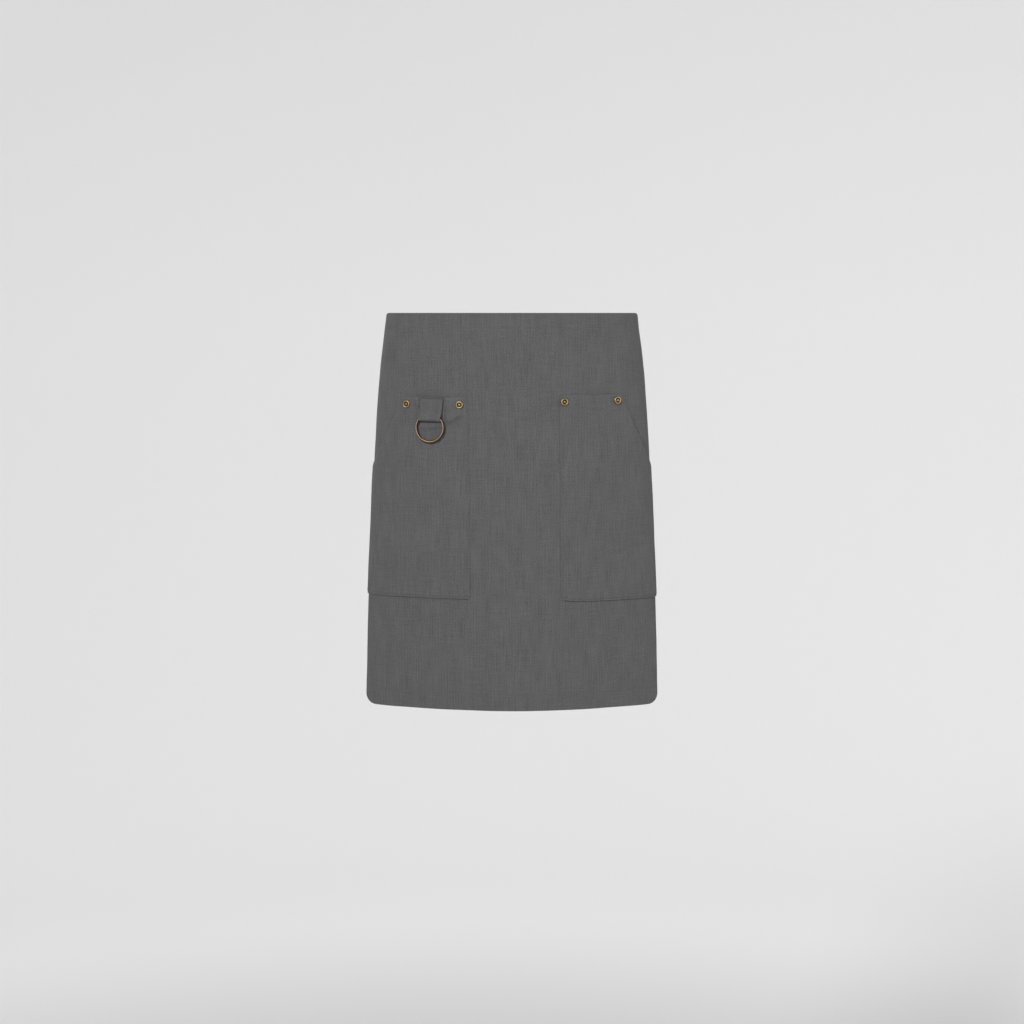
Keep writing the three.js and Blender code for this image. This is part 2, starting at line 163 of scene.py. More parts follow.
@dataclass(frozen=True)
class HeatheredTwill:
    """Cotton twill woven from grey yarns of mixed tones.

    The mixed yarns give the eye fine upright streaks, with fainter ones across, and the
    diagonal ribs of the weave break up the light so that it looks dry and matt.
    """

    dark: str = "3b3b3b"
    light: str = "4f4f4f"
    yarn: tuple[float, float] = (1.2, 32.0)
    slub: tuple[float, float] = (2.4, 24.0)
    cross_yarn: tuple[float, float] = (30.0, 1.4)
    fleck: tuple[float, float] = (1.1, 1.5)
    cloud: tuple[float, float] = (13.0, 45.0)
    grain: float = 0.6
    tone_from: float = 0.37
    tone_to: float = 0.67
    stripe_pitch: float = 3.77
    stripe_waver: float = 3.0
    rib_pitch: float = 1.1  # the real ribs are 0.5 apart, too fine to show, so they are drawn coarser
    rib_waver: float = 0.6
    rib_depth: float = 0.16
    rib_strength: float = 0.7
    rough_dark: float = 0.97
    rough_light: float = 0.86
    gloss: float = 0.25
    sheen: float = 0.08
    sheen_rough: float = 0.45

    def noise(
        self, tree: bpy.types.NodeTree, size: tuple[float, float], detail: float
    ) -> bpy.types.NodeSocket:
        """Noise drawn out to a size on the cloth.

        Args:
            tree: the material's nodes.
            size: width and length of a mark.
            detail: how many finer layers it has.

        Returns:
            The noise's value.
        """
        flat = add_node(tree, "ShaderNodeUVMap", {"uv_map": CLOTH_MAP}).outputs["UV"]
        scale = (1 / (size[0] * MM), 1 / (size[1] * MM), 1.0)
        spread = add_node(tree, "ShaderNodeMapping", inputs={"Vector": flat, "Scale": scale})
        grain = {"Scale": 1.0, "Detail": detail, "Roughness": self.grain}
        inputs = {"Vector": spread.outputs["Vector"], **grain}
        return add_node(tree, "ShaderNodeTexNoise", {"noise_dimensions": "2D"}, inputs).outputs["Fac"]

    def bands(
        self, tree: bpy.types.NodeTree, heading: str, pitch: float, waver: float
    ) -> bpy.types.NodeSocket:
        """Bands woven into the cloth.

        Args:
            tree: the material's nodes.
            heading: X for upright bands, DIAGONAL for slanted ones.
            pitch: distance between two bands, measured straight across.
            waver: how far they stray.

        Returns:
            The bands' value.
        """
        flat = add_node(tree, "ShaderNodeUVMap", {"uv_map": CLOTH_MAP})
        turns = {"X": 20, "DIAGONAL": 10}[heading]  # radians that a wave goes through in a unit
        scale = 2 * math.pi / (turns * pitch * MM)
        inputs = {"Vector": flat.outputs["UV"], "Scale": scale, "Distortion": waver, "Detail": 1.0}
        wave = {"wave_type": "BANDS", "bands_direction": heading}
        return add_node(tree, "ShaderNodeTexWave", wave, inputs).outputs["Fac"]

    def mixed(
        self, tree: bpy.types.NodeTree, parts: list[tuple[bpy.types.NodeSocket, float]]
    ) -> bpy.types.NodeSocket:
        """Add values up by weight.

        Args:
            tree: the material's nodes.
            parts: each value and its weight.

        Returns:
            The sum.
        """
        total = 0.0
        for value, weight in parts:
            inputs = {0: value, 1: weight, 2: total}
            total = add_node(tree, "ShaderNodeMath", {"operation": "MULTIPLY_ADD"}, inputs).outputs[0]
        return total

    def make(self) -> bpy.types.Material:
        """Make the material.

        Returns:
            The material.
        """
        material, tree, shader = new_material("heathered_cotton_twill")
        yarn = self.noise(tree, self.yarn, 2.0)
        slub = self.noise(tree, self.slub, 1.0)
        cross = self.noise(tree, self.cross_yarn, 2.0)
        fleck = self.noise(tree, self.fleck, 1.0)
        cloud = self.noise(tree, self.cloud, 1.0)
        stripe = self.bands(tree, "X", self.stripe_pitch, self.stripe_waver)
        streaks = [(yarn, 0.25), (slub, 0.06), (cross, 0.15)]
        marks = [(fleck, 0.44), (cloud, 0.10), (stripe, 0.04)]
        tone = self.mixed(tree, streaks + marks)
        spread = {"Value": tone, "From Min": self.tone_from, "From Max": self.tone_to}
        share = add_node(tree, "ShaderNodeMapRange", inputs=spread).outputs["Result"]
        tones = {MIX_FROM: linear_colour(self.dark), MIX_TO: linear_colour(self.light)}
        mix = add_node(tree, "ShaderNodeMix", {"data_type": "RGBA"}, {MIX_SHARE: share, **tones})
        rough = {"Value": share, "To Min": self.rough_dark, "To Max": self.rough_light}
        roughness = add_node(tree, "ShaderNodeMapRange", inputs=rough).outputs["Result"]

        ribs = self.bands(tree, "DIAGONAL", self.rib_pitch, self.rib_waver)
        height = self.mixed(tree, [(ribs, 0.45), (yarn, 0.3), (fleck, 0.4), (cross, 0.2)])
        bump_inputs = {"Height": height, "Strength": self.rib_strength, "Distance": self.rib_depth * MM}
        bump = add_node(tree, "ShaderNodeBump", inputs=bump_inputs)
        tree.links.new(mix.outputs[MIX_OUT], shader.inputs["Base Color"])
        tree.links.new(roughness, shader.inputs["Roughness"])
        tree.links.new(bump.outputs["Normal"], shader.inputs["Normal"])
        shader.inputs["Specular IOR Level"].default_value = self.gloss
        shader.inputs["Sheen Weight"].default_value = self.sheen
        shader.inputs["Sheen Roughness"].default_value = self.sheen_rough
        return material


@dataclass(frozen=True)
class SpunThread:
    """Polyester sewing thread, spun and dyed to match the cloth; a little smoother."""

    dark: str = "3c3c3c"
    light: str = "505050"
    fibre: float = 0.35
    fibre_depth: float = 0.08
    fibre_strength: float = 0.5
    rough: float = 0.7
    gloss: float = 0.35

    def make(self) -> bpy.types.Material:
        """Make the material.

        Returns:
            The material.
        """
        material, tree, shader = new_material("spun_polyester_thread")
        place = add_node(tree, "ShaderNodeTexCoord")
        inputs = {"Vector": place.outputs["Object"], "Scale": 1 / (self.fibre * MM), "Detail": 2.0}
        fibres = add_node(tree, "ShaderNodeTexNoise", inputs=inputs)
        tones = {MIX_FROM: linear_colour(self.dark), MIX_TO: linear_colour(self.light)}
        share = {MIX_SHARE: fibres.outputs["Fac"]}
        colour = add_node(tree, "ShaderNodeMix", {"data_type": "RGBA"}, share | tones)
        depth = {"Strength": self.fibre_strength, "Distance": self.fibre_depth * MM}
        bump = add_node(tree, "ShaderNodeBump", inputs={"Height": fibres.outputs["Fac"], **depth})
        tree.links.new(colour.outputs[MIX_OUT], shader.inputs["Base Color"])
        tree.links.new(bump.outputs["Normal"], shader.inputs["Normal"])
        shader.inputs["Roughness"].default_value = self.rough
        shader.inputs["Specular IOR Level"].default_value = self.gloss
        return material


@dataclass(frozen=True)
class AntiqueMetal:
    """Plated metal, dark with stain and rubbed back so that the raised parts shine; the same mix paints
    highlight and shade on the D-ring and shade at the rivet caps' foot.

    Args:
        name: the finish's name.
        bright: colour of the rubbed metal, also a painted highlight on the D-ring's faces.
        warm: colour of patches where the plating is thin.
        stain_and_shade: colour of the dark stain that stays in the hollows, also painted shade on the
            D-ring's rims and the rivet caps' foot.
        polish: roughness of the rubbed metal.
        dull: roughness of the stain.
        patch: size of the patches of thin plating.
        patch_reach: how far a patch strays from the even plating.
        blotch: size of the stain's blotches.
        blotch_reach: how far a blotch strays from the even mix of rubbed metal and stain.
        scratch: spacing of the fine scratches.
        scratch_depth: their depth.
        scratch_strength: how sharply they show.
    """

    name: str
    bright: str
    warm: str
    stain_and_shade: str
    polish: float
    dull: float = 0.5
    patch: float = 11.0
    patch_reach: float = 0.8
    blotch: float = 1.6
    blotch_reach: float = 0.35
    scratch: float = 0.25
    scratch_depth: float = 0.04
    scratch_strength: float = 0.25

    def make(self) -> bpy.types.Material:
        """Make the material.

        Returns:
            The material.
        """
        material, tree, shader = new_material(self.name)
        place = add_node(tree, "ShaderNodeTexCoord").outputs["Object"]
        grain = {"Scale": 1 / (self.blotch * MM), "Detail": 4.0, "Roughness": 0.65}
        blotch = add_node(tree, "ShaderNodeTexNoise", inputs={"Vector": place, **grain}).outputs["Fac"]
        grain = {"Scale": 1 / (self.scratch * MM), "Detail": 2.0}
        scratch = add_node(tree, "ShaderNodeTexNoise", inputs={"Vector": place, **grain}).outputs["Fac"]
        # The per-point mix: rubbed metal and stain, and on the D-ring also a painted highlight and
        # painted shade
        wear_and_painted_light = add_node(tree, "ShaderNodeAttribute", {"attribute_name": WEAR_AND_PAINTED_LIGHT}).outputs["Fac"]
        reach = {"Value": blotch, "To Min": -self.blotch_reach, "To Max": self.blotch_reach}
        stain = add_node(tree, "ShaderNodeMapRange", inputs=reach)
        added = {"operation": "ADD", "use_clamp": True}
        shown = {0: wear_and_painted_light, 1: stain.outputs["Result"]}
        share = add_node(tree, "ShaderNodeMath", added, shown).outputs[0]
        grain = {"Scale": 1 / (self.patch * MM), "Detail": 1.0}
        patch = add_node(tree, "ShaderNodeTexNoise", inputs={"Vector": place, **grain}).outputs["Fac"]
        reach = {"Value": patch, "To Min": -self.patch_reach, "To Max": self.patch_reach}
        uneven = add_node(tree, "ShaderNodeMapRange", inputs=reach)
        thin = add_node(tree, "ShaderNodeAttribute", {"attribute_name": THIN}).outputs["Fac"]
        both = {0: thin, 1: uneven.outputs["Result"]}
        thinness = add_node(tree, "ShaderNodeMath", added, both).outputs[0]
        tones = {MIX_FROM: linear_colour(self.bright), MIX_TO: linear_colour(self.warm)}
        rubbed = add_node(tree, "ShaderNodeMix", {"data_type": "RGBA"}, {MIX_SHARE: thinness, **tones})
        tones = {MIX_FROM: linear_colour(self.stain_and_shade), MIX_TO: rubbed.outputs[MIX_OUT]}
        colour = add_node(tree, "ShaderNodeMix", {"data_type": "RGBA"}, {MIX_SHARE: share, **tones})
        rough = {"Value": share, "To Min": self.dull, "To Max": self.polish}
        roughness = add_node(tree, "ShaderNodeMapRange", inputs=rough)
        depth = {"Strength": self.scratch_strength, "Distance": self.scratch_depth * MM}
        bump = add_node(tree, "ShaderNodeBump", inputs={"Height": scratch, **depth})
        tree.links.new(colour.outputs[MIX_OUT], shader.inputs["Base Color"])
        tree.links.new(roughness.outputs["Result"], shader.inputs["Roughness"])
        tree.links.new(bump.outputs["Normal"], shader.inputs["Normal"])
        shader.inputs["Metallic"].default_value = 1.0
        return material


@dataclass(frozen=True)
class Paper:
    """Matt white backdrop paper, lit from behind away from the middle so that it stays pale all over."""

    tone: str = "d9d9d9"
    glow: float = 0.24
    dull_m: float = 2.0
    lit_m: float = 3.6

    def make(self) -> bpy.types.Material:
        """Make the material.

        Returns:
            The material.
        """
        material, tree, shader = new_material("backdrop_paper")
        shader.inputs["Base Color"].default_value = linear_colour(self.tone)
        shader.inputs["Roughness"].default_value = 1.0
        shader.inputs["Specular IOR Level"].default_value = 0.0
        shader.inputs["Emission Color"].default_value = (1.0, 1.0, 1.0, 1.0)
        place = add_node(tree, "ShaderNodeTexCoord").outputs["Object"]
        flat = {0: place, 1: (1.0, 1.0, 0.0)}
        level = add_node(tree, "ShaderNodeVectorMath", {"operation": "MULTIPLY"}, flat).outputs["Vector"]
        away = add_node(tree, "ShaderNodeVectorMath", {"operation": "LENGTH"}, {0: level})
        distance = away.outputs["Value"]
        ends = {"Value": distance, "From Min": self.dull_m, "From Max": self.lit_m, "To Max": self.glow}
        glow = add_node(tree, "ShaderNodeMapRange", {"interpolation_type": "SMOOTHSTEP"}, ends)
        tree.links.new(glow.outputs["Result"], shader.inputs["Emission Strength"])
        material.cycles.emission_sampling = "NONE"  # too large and too even to aim at as a lamp
        return material


@dataclass(frozen=True)
class Finishes:
    """The materials, each made once."""

    twill: bpy.types.Material = field(default_factory=lambda: HeatheredTwill().make())
    thread: bpy.types.Material = field(default_factory=lambda: SpunThread().make())
    brass: bpy.types.Material = field(
        default_factory=lambda: AntiqueMetal(
            "antique_brass", bright="968362", warm="937a4e", stain_and_shade="2f2012", polish=0.42
        ).make()
    )
    # The copper's stain colour also serves as painted shade on the D-ring's rims, and its bright colour
    # as a painted highlight on its faces
    copper: bpy.types.Material = field(
        default_factory=lambda: AntiqueMetal(
            "antique_copper_plate", bright="857267", warm="7b6242", stain_and_shade="231b15", polish=0.54
        ).make()
    )


def new_piece(
    name: str, mesh: bpy.types.Mesh, material: bpy.types.Material, body: Body = Body.APRON
) -> bpy.types.Object:
    """Put a mesh into the scene as a piece that rides on a body.

    Args:
        name: the piece's name.
        mesh: its mesh, in place.
        material: its finish.
        body: the body that carries it.

    Returns:
        The piece.
    """
    mesh.materials.append(material)
    mesh.shade_smooth()
    piece = bpy.data.objects.new(name, mesh)
    bpy.context.scene.collection.objects.link(piece)
    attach(piece, body.value)
    log.info("%s: %d faces", name, len(mesh.polygons))
    return piece


def to_mesh(shape: bmesh.types.BMesh, name: str) -> bpy.types.Mesh:
    """Write a shape to a new mesh and free it.

    Args:
        shape: the shape.
        name: the mesh's name.

    Returns:
        The mesh.
    """
    mesh = bpy.data.meshes.new(name)
    shape.to_mesh(mesh)
    shape.free()
    return mesh


def bell(distance: Array, width: float) -> Array:
    """A smooth hump that is 1 at no distance and fades over a width."""
    return np.exp(-((distance / width) ** 2))


def run_along(points: Array) -> Array:
    """Length along a line of points, from the first to each."""
    return np.concatenate(([0.0], np.cumsum(np.linalg.norm(np.diff(points, axis=0), axis=1))))


def crowded(total: float, lines: tuple[float, ...], share: Array) -> Array:
    """Spread steps over a length, finer beside some lines.

    Args:
        total: the length.
        lines: places along it where the steps are finer.
        share: even steps from 0 to 1.

    Returns:
        Places along the length.
    """
    at = np.linspace(0.0, total, CROWD_STEPS + 1)
    density = 1.0 + CROWD_GAIN * sum(bell(at - line, CROWD_WIDTH) for line in lines)
    filled = np.concatenate(([0.0], np.cumsum((density[1:] + density[:-1]) / 2)))
    return np.interp(share, filled / filled[-1], at)


@dataclass(frozen=True)
class Section:
    """The worn panel at a drop.

    It has a half-width, how far the middle stands in front, how far the cloth falls back to the sides,
    and the radius and strength of the bend beside the hips.
    """

    drop: float
    half_width: float
    front: float
    bow: float
    roll: float
    grip: float


@dataclass(frozen=True)
class Fold:
    """A soft hanging fold; a positive depth is a hollow."""

    across: float
    width: float
    depth: float


@dataclass(frozen=True)
class Ripple:
    """A faint wave left in worn cloth: its length, heading in degrees, height and phase."""

    length: float
    heading: float
    height: float
    phase: float


@dataclass
class WornForm:
    """The curved form that the panel takes when worn. The pockets and the tie lie on it too."""

    length: float = 500.0
    sections: tuple[Section, ...] = (
        Section(0, 160.0, 112.0, 40.0, 36.0, 0.97),
        Section(20, 162.0, 112.4, 40.3, 35.2, 0.955),
        Section(60, 166.8, 113.2, 40.7, 33.8, 0.93),
        Section(110, 171.2, 114.2, 41.3, 32.0, 0.89),
        Section(180, 175.7, 115.4, 42.2, 29.5, 0.84),
        Section(270, 180.0, 116.6, 43.2, 26.2, 0.78),
        Section(360, 184.1, 117.4, 44.3, 23.0, 0.72),
        Section(500, 188.3, 118.0, 46.0, 18.0, 0.62),
    )
    roll_sharpness: int = 16
    folds: tuple[Fold, ...] = (
        Fold(-128, 34, 1.6),
        Fold(-64, 26, 1.2),
        Fold(6, 48, -1.4),
        Fold(132, 30, 2.2),
    )
    folds_start: float = 150.0
    folds_growth: float = 1.5
    ripples: tuple[Ripple, ...] = (
        Ripple(62, 12, 0.12, 0.4),
        Ripple(41, -16, 0.08, 2.1),
        Ripple(90, 81, 0.10, 1.2),
        Ripple(27, 34, 0.04, 4.0),
        Ripple(33, 118, 0.04, 5.1),
    )
    measure_rows: int = 100
    measure_columns: int = 600
    share_step: float = 0.001
    drop_step: float = 0.5
    shares: Array = field(init=False)
    lengths: Array = field(init=False)

    def __post_init__(self) -> None:
        """Measure the cloth along the form at even drops."""
        self.shares = np.sin(np.linspace(-math.pi / 2, math.pi / 2, self.measure_columns + 1))
        middle = len(self.shares) // 2
        rows = []
        for drop in np.linspace(0.0, self.length, self.measure_rows + 1):
            run = run_along(self.face(self.shares, np.full_like(self.shares, drop)))
            rows.append(run - run[middle])
        self.lengths = np.array(rows)

    def column(self, name: str, drop: Array) -> Array:
        """Read a column of the sections on a smooth curve.

        Args:
            name: the column.
            drop: where to read it.

        Returns:
            Its values.
        """
        drops = np.array([row.drop for row in self.sections], float)
        values = np.array([getattr(row, name) for row in self.sections], float)
        spans = np.diff(drops)
        rises = np.diff(values) / spans
        slopes = np.empty_like(values)
        slopes[1:-1] = (values[2:] - values[:-2]) / (drops[2:] - drops[:-2])
        slopes[0] = 1.5 * rises[0] - 0.5 * slopes[1]
        slopes[-1] = 1.5 * rises[-1] - 0.5 * slopes[-2]
        drop = np.clip(drop, 0.0, self.length)
        i = np.clip(np.searchsorted(drops, drop, side="right") - 1, 0, len(spans) - 1)
        t = (drop - drops[i]) / spans[i]
        start = values[i] * (1 + 2 * t) * (1 - t) ** 2 + slopes[i] * spans[i] * t * (1 - t) ** 2
        end = values[i + 1] * t**2 * (3 - 2 * t) + slopes[i + 1] * spans[i] * t**2 * (t - 1)
        return start + end

    def face(self, share: Array, drop: Array) -> Array:
        """Points of the panel's outer face.

        Args:
            share: shares of the half-width.
            drop: drops from the top edge.

        Returns:
            One point a row.
        """
        across = share * self.column("half_width", drop)
        strength = self.column("grip", drop) * np.abs(share) ** self.roll_sharpness
        bend = self.column("roll", drop) * (1 - np.sqrt(1 - strength))
        fall = np.clip((drop - self.folds_start) / (self.length - self.folds_start), 0.0, 1.0)
        depths = sum(fold.depth * bell(across - fold.across, fold.width) for fold in self.folds)
        folds = fall**self.folds_growth * depths
        back = self.column("bow", drop) * share**2 + bend + folds - self.column("front", drop)
        return np.stack([across, back, -drop], axis=-1)

    def normals(self, share: Array, drop: Array) -> Array:
        """The way that the outer face looks.

        Args:
            share: shares of the half-width.
            drop: drops from the top edge.

        Returns:
            One unit vector a row.
        """
        right = self.face(np.minimum(share + self.share_step, 1.0), drop)
        right = right - self.face(np.maximum(share - self.share_step, -1.0), drop)
        above = np.maximum(drop - self.drop_step, 0.0)
        below = np.minimum(drop + self.drop_step, self.length)
        out = np.cross(right, self.face(share, above) - self.face(share, below))
        return out / np.linalg.norm(out, axis=-1, keepdims=True)

    def off(self, share: Array, drop: Array, distance: Array | float) -> Array:
        """Points that stand off the outer face by a distance."""
        distance = np.broadcast_to(np.asarray(distance, float), share.shape)
        return self.face(share, drop) + self.normals(share, drop) * distance[:, None]

    def banded(self, drop: Array, read: Callable[[Array, int], Array]) -> Array:
        """Read the measured cloth between two of its even drops.

        Args:
            drop: where to read.
            read: gives the values of some places from one row of the measure.

        Returns:
            Values at the drops.
        """
        step = np.clip(drop / self.length, 0.0, 1.0 - 1e-9) * self.measure_rows
        low = step.astype(int)
        values = np.empty_like(drop)
        for band in np.unique(low):
            here = low == band
            upper = read(here, band)
            values[here] = upper + (read(here, band + 1) - upper) * (step[here] - band)
        return values

    def share_at(self, along: Array, drop: Array) -> Array:
        """Share of the half-width at a length along the cloth."""
        return self.banded(drop, lambda here, row: np.interp(along[here], self.lengths[row], self.shares))

    def along_at(self, share: Array, drop: Array) -> Array:
        """Length along the cloth at a share of the half-width."""
        return self.banded(drop, lambda here, row: np.interp(share[here], self.shares, self.lengths[row]))

    def ripple(self, along: Array, drop: Array) -> Array:
        """How far the faint waves lift the cloth.

        Args:
            along: lengths along the cloth.
            drop: drops from the top edge.

        Returns:
            Heights.
        """
        total = np.zeros_like(along)
        for wave in self.ripples:
            heading = math.radians(wave.heading)
            run = along * math.cos(heading) + drop * math.sin(heading)
            total += wave.height * np.sin(2 * math.pi * run / wave.length + wave.phase)
        return total


@dataclass(frozen=True)
class Sewing:
    """How cloth is made up: wall, turned edges, and what a row of stitches does to it."""

    layer: float = 1.0
    turning: float = 0.6
    gap: float = 0.3
    ease: float = 1.2
    edge_gap: float = 0.15
    groove: float = 0.16
    groove_width: float = 1.1
    pucker: float = 0.22
    pucker_width: float = 6.0
    pucker_length: float = 13.0
    pucker_stray: float = 0.9
    pucker_drift: float = 0.37

    @property
    def wall(self) -> float:
        """Thickness of a turned edge."""
        return self.layer + self.turning

    def turned(self, inside: Array, width: float) -> Array:
        """Share of the turned edge's extra thickness, at distances in from the edge."""
        return np.clip((width - inside) / self.ease + 0.5, 0.0, 1.0)

    def seam(self, distance: Array, run: Array, pull: float = 1.0) -> Array:
        """How a row of stitches draws the cloth in and puckers it.

        Args:
            distance: distance from the row.
            run: length along the row.
            pull: how tightly it is sewn, 1 for an even row.

        Returns:
            Heights, below 0 where it is drawn in.
        """
        turn = 2 * math.pi * run / self.pucker_length
        stray = self.pucker_stray * np.sin(turn * self.pucker_drift)
        wave = (0.5 + 0.5 * np.sin(turn + stray)) * bell(distance, self.pucker_width)
        return self.pucker * wave - pull * self.groove * bell(distance, self.groove_width)


@dataclass(frozen=True)
class Edge:
    """How an edge is finished: the width turned in, its height when pressed, and how soon that fades."""

    turning: float
    height: float
    fade: float

    def pressed(self, inside: Array) -> Array:
        """Share of the pressing at distances in from the edge."""
        return bell(np.maximum(inside, 0.0), self.fade)


@dataclass
class Spots:
    """Where the points of a sheet go: in space, on the flat cloth, and their share of the full wall."""

    points: Array
    flat: Array
    layers: Array


def make_sheet(name: str, columns: int, rows: int, place: Place) -> bpy.types.Mesh:
    """Make a flat sheet and lay it where it is worn.

    Args:
        name: the mesh's name.
        columns: steps across.
        rows: steps down.
        place: gives the spots for shares across and down.

    Returns:
        The sheet's outer face, with its flat places as a map and its layers as a weight.
    """
    sheet = bmesh.new()
    bmesh.ops.create_grid(sheet, x_segments=columns, y_segments=rows, size=1.0)
    corners = np.array([vert.co[:2] for vert in sheet.verts])
    spots = place((corners[:, 0] + 1) / 2, (1 - corners[:, 1]) / 2)
    weights = sheet.verts.layers.deform.new()
    for vert, point, layer in zip(sheet.verts, spots.points * MM, spots.layers):
        vert.co = point
        vert[weights][0] = layer
    sheet.verts.index_update()
    flat = sheet.loops.layers.uv.new(CLOTH_MAP)
    places = (spots.flat * MM).tolist()
    for face in sheet.faces:
        for loop in face.loops:
            loop[flat].uv = places[loop.vert.index]
    return to_mesh(sheet, name)


def thicken(piece: bpy.types.Object, wall: float, fold: float = 0.35) -> None:
    """Give a sheet its wall and soft edges.

    Args:
        piece: the sheet.
        wall: full thickness.
        fold: roundness of the edges.
    """
    layers = piece.vertex_groups.new(name="layers")
    solid = piece.modifiers.new("Wall", "SOLIDIFY")
    solid.thickness = wall * MM
    solid.offset = -1.0
    solid.vertex_group = layers.name
    edge = piece.modifiers.new("Fold", "BEVEL")
    edge.width = fold * MM
    edge.segments = 2
    edge.profile = 0.5
    edge.limit_method = "ANGLE"
    edge.angle_limit = math.radians(60)


@dataclass(frozen=True)
class Seam:
    """A row of stitches to sew: points on a face, and the way the face looks at each."""

    points: Array
    normals: Array


@dataclass(frozen=True)
class Thread:
    """Lockstitches: their pitch, length, width and height."""

    pitch: float = 3.2
    stitch: float = 2.6
    width: float = 0.55
    rise: float = 0.4

    def stitch_shape(self) -> tuple[Array, list[list[int]]]:
        """One stitch, lying along X.

        Returns:
            Its points and faces.
        """
        shape = bmesh.new()
        bmesh.ops.create_uvsphere(shape, u_segments=6, v_segments=5, radius=0.5)
        bmesh.ops.rotate(shape, verts=shape.verts[:], matrix=Matrix.Rotation(math.pi / 2, 3, "Y"))
        bmesh.ops.scale(shape, verts=shape.verts[:], vec=(self.stitch, self.width, self.rise))
        shape.verts.index_update()
        points = np.array([vert.co[:] for vert in shape.verts])
        faces = [[vert.index for vert in face.verts] for face in shape.faces]
        shape.free()
        return points, faces

    def sew(self, name: str, seams: list[Seam], material: bpy.types.Material) -> bpy.types.Object:
        """Sew rows of stitches as one piece.

        Args:
            name: the piece's name.
            seams: the rows.
            material: the thread.

        Returns:
            The piece.
        """
        template, shape_faces = self.stitch_shape()
        points: list[Array] = []
        for seam in seams:
            run = run_along(seam.points)
            count = max(int(run[-1] / self.pitch), 1)
            at = (np.arange(count) + 0.5) * run[-1] / count
            half = self.stitch / 2
            ends = [self.read(run, seam.points, at + way * half) for way in (-1, 1)]
            ahead = ends[1] - ends[0]
            ahead /= np.linalg.norm(ahead, axis=1, keepdims=True)
            aside = np.cross(self.read(run, seam.normals, at), ahead)
            aside /= np.linalg.norm(aside, axis=1, keepdims=True)
            axes = np.stack([ahead, aside, np.cross(ahead, aside)], axis=1)
            points.append(self.read(run, seam.points, at)[:, None, :] + template @ axes)
        stitches = np.concatenate(points)
        step = len(template)
        faces = [[i * step + k for k in face] for i in range(len(stitches)) for face in shape_faces]
        mesh = bpy.data.meshes.new(name)
        mesh.from_pydata((stitches.reshape(-1, 3) * MM).tolist(), [], faces)
        return new_piece(name, mesh, material)

    @staticmethod
    def read(run: Array, values: Array, at: Array) -> Array:
        """Read points or directions at lengths along a row."""
        return np.stack([np.interp(at, run, values[:, axis]) for axis in range(3)], axis=1)


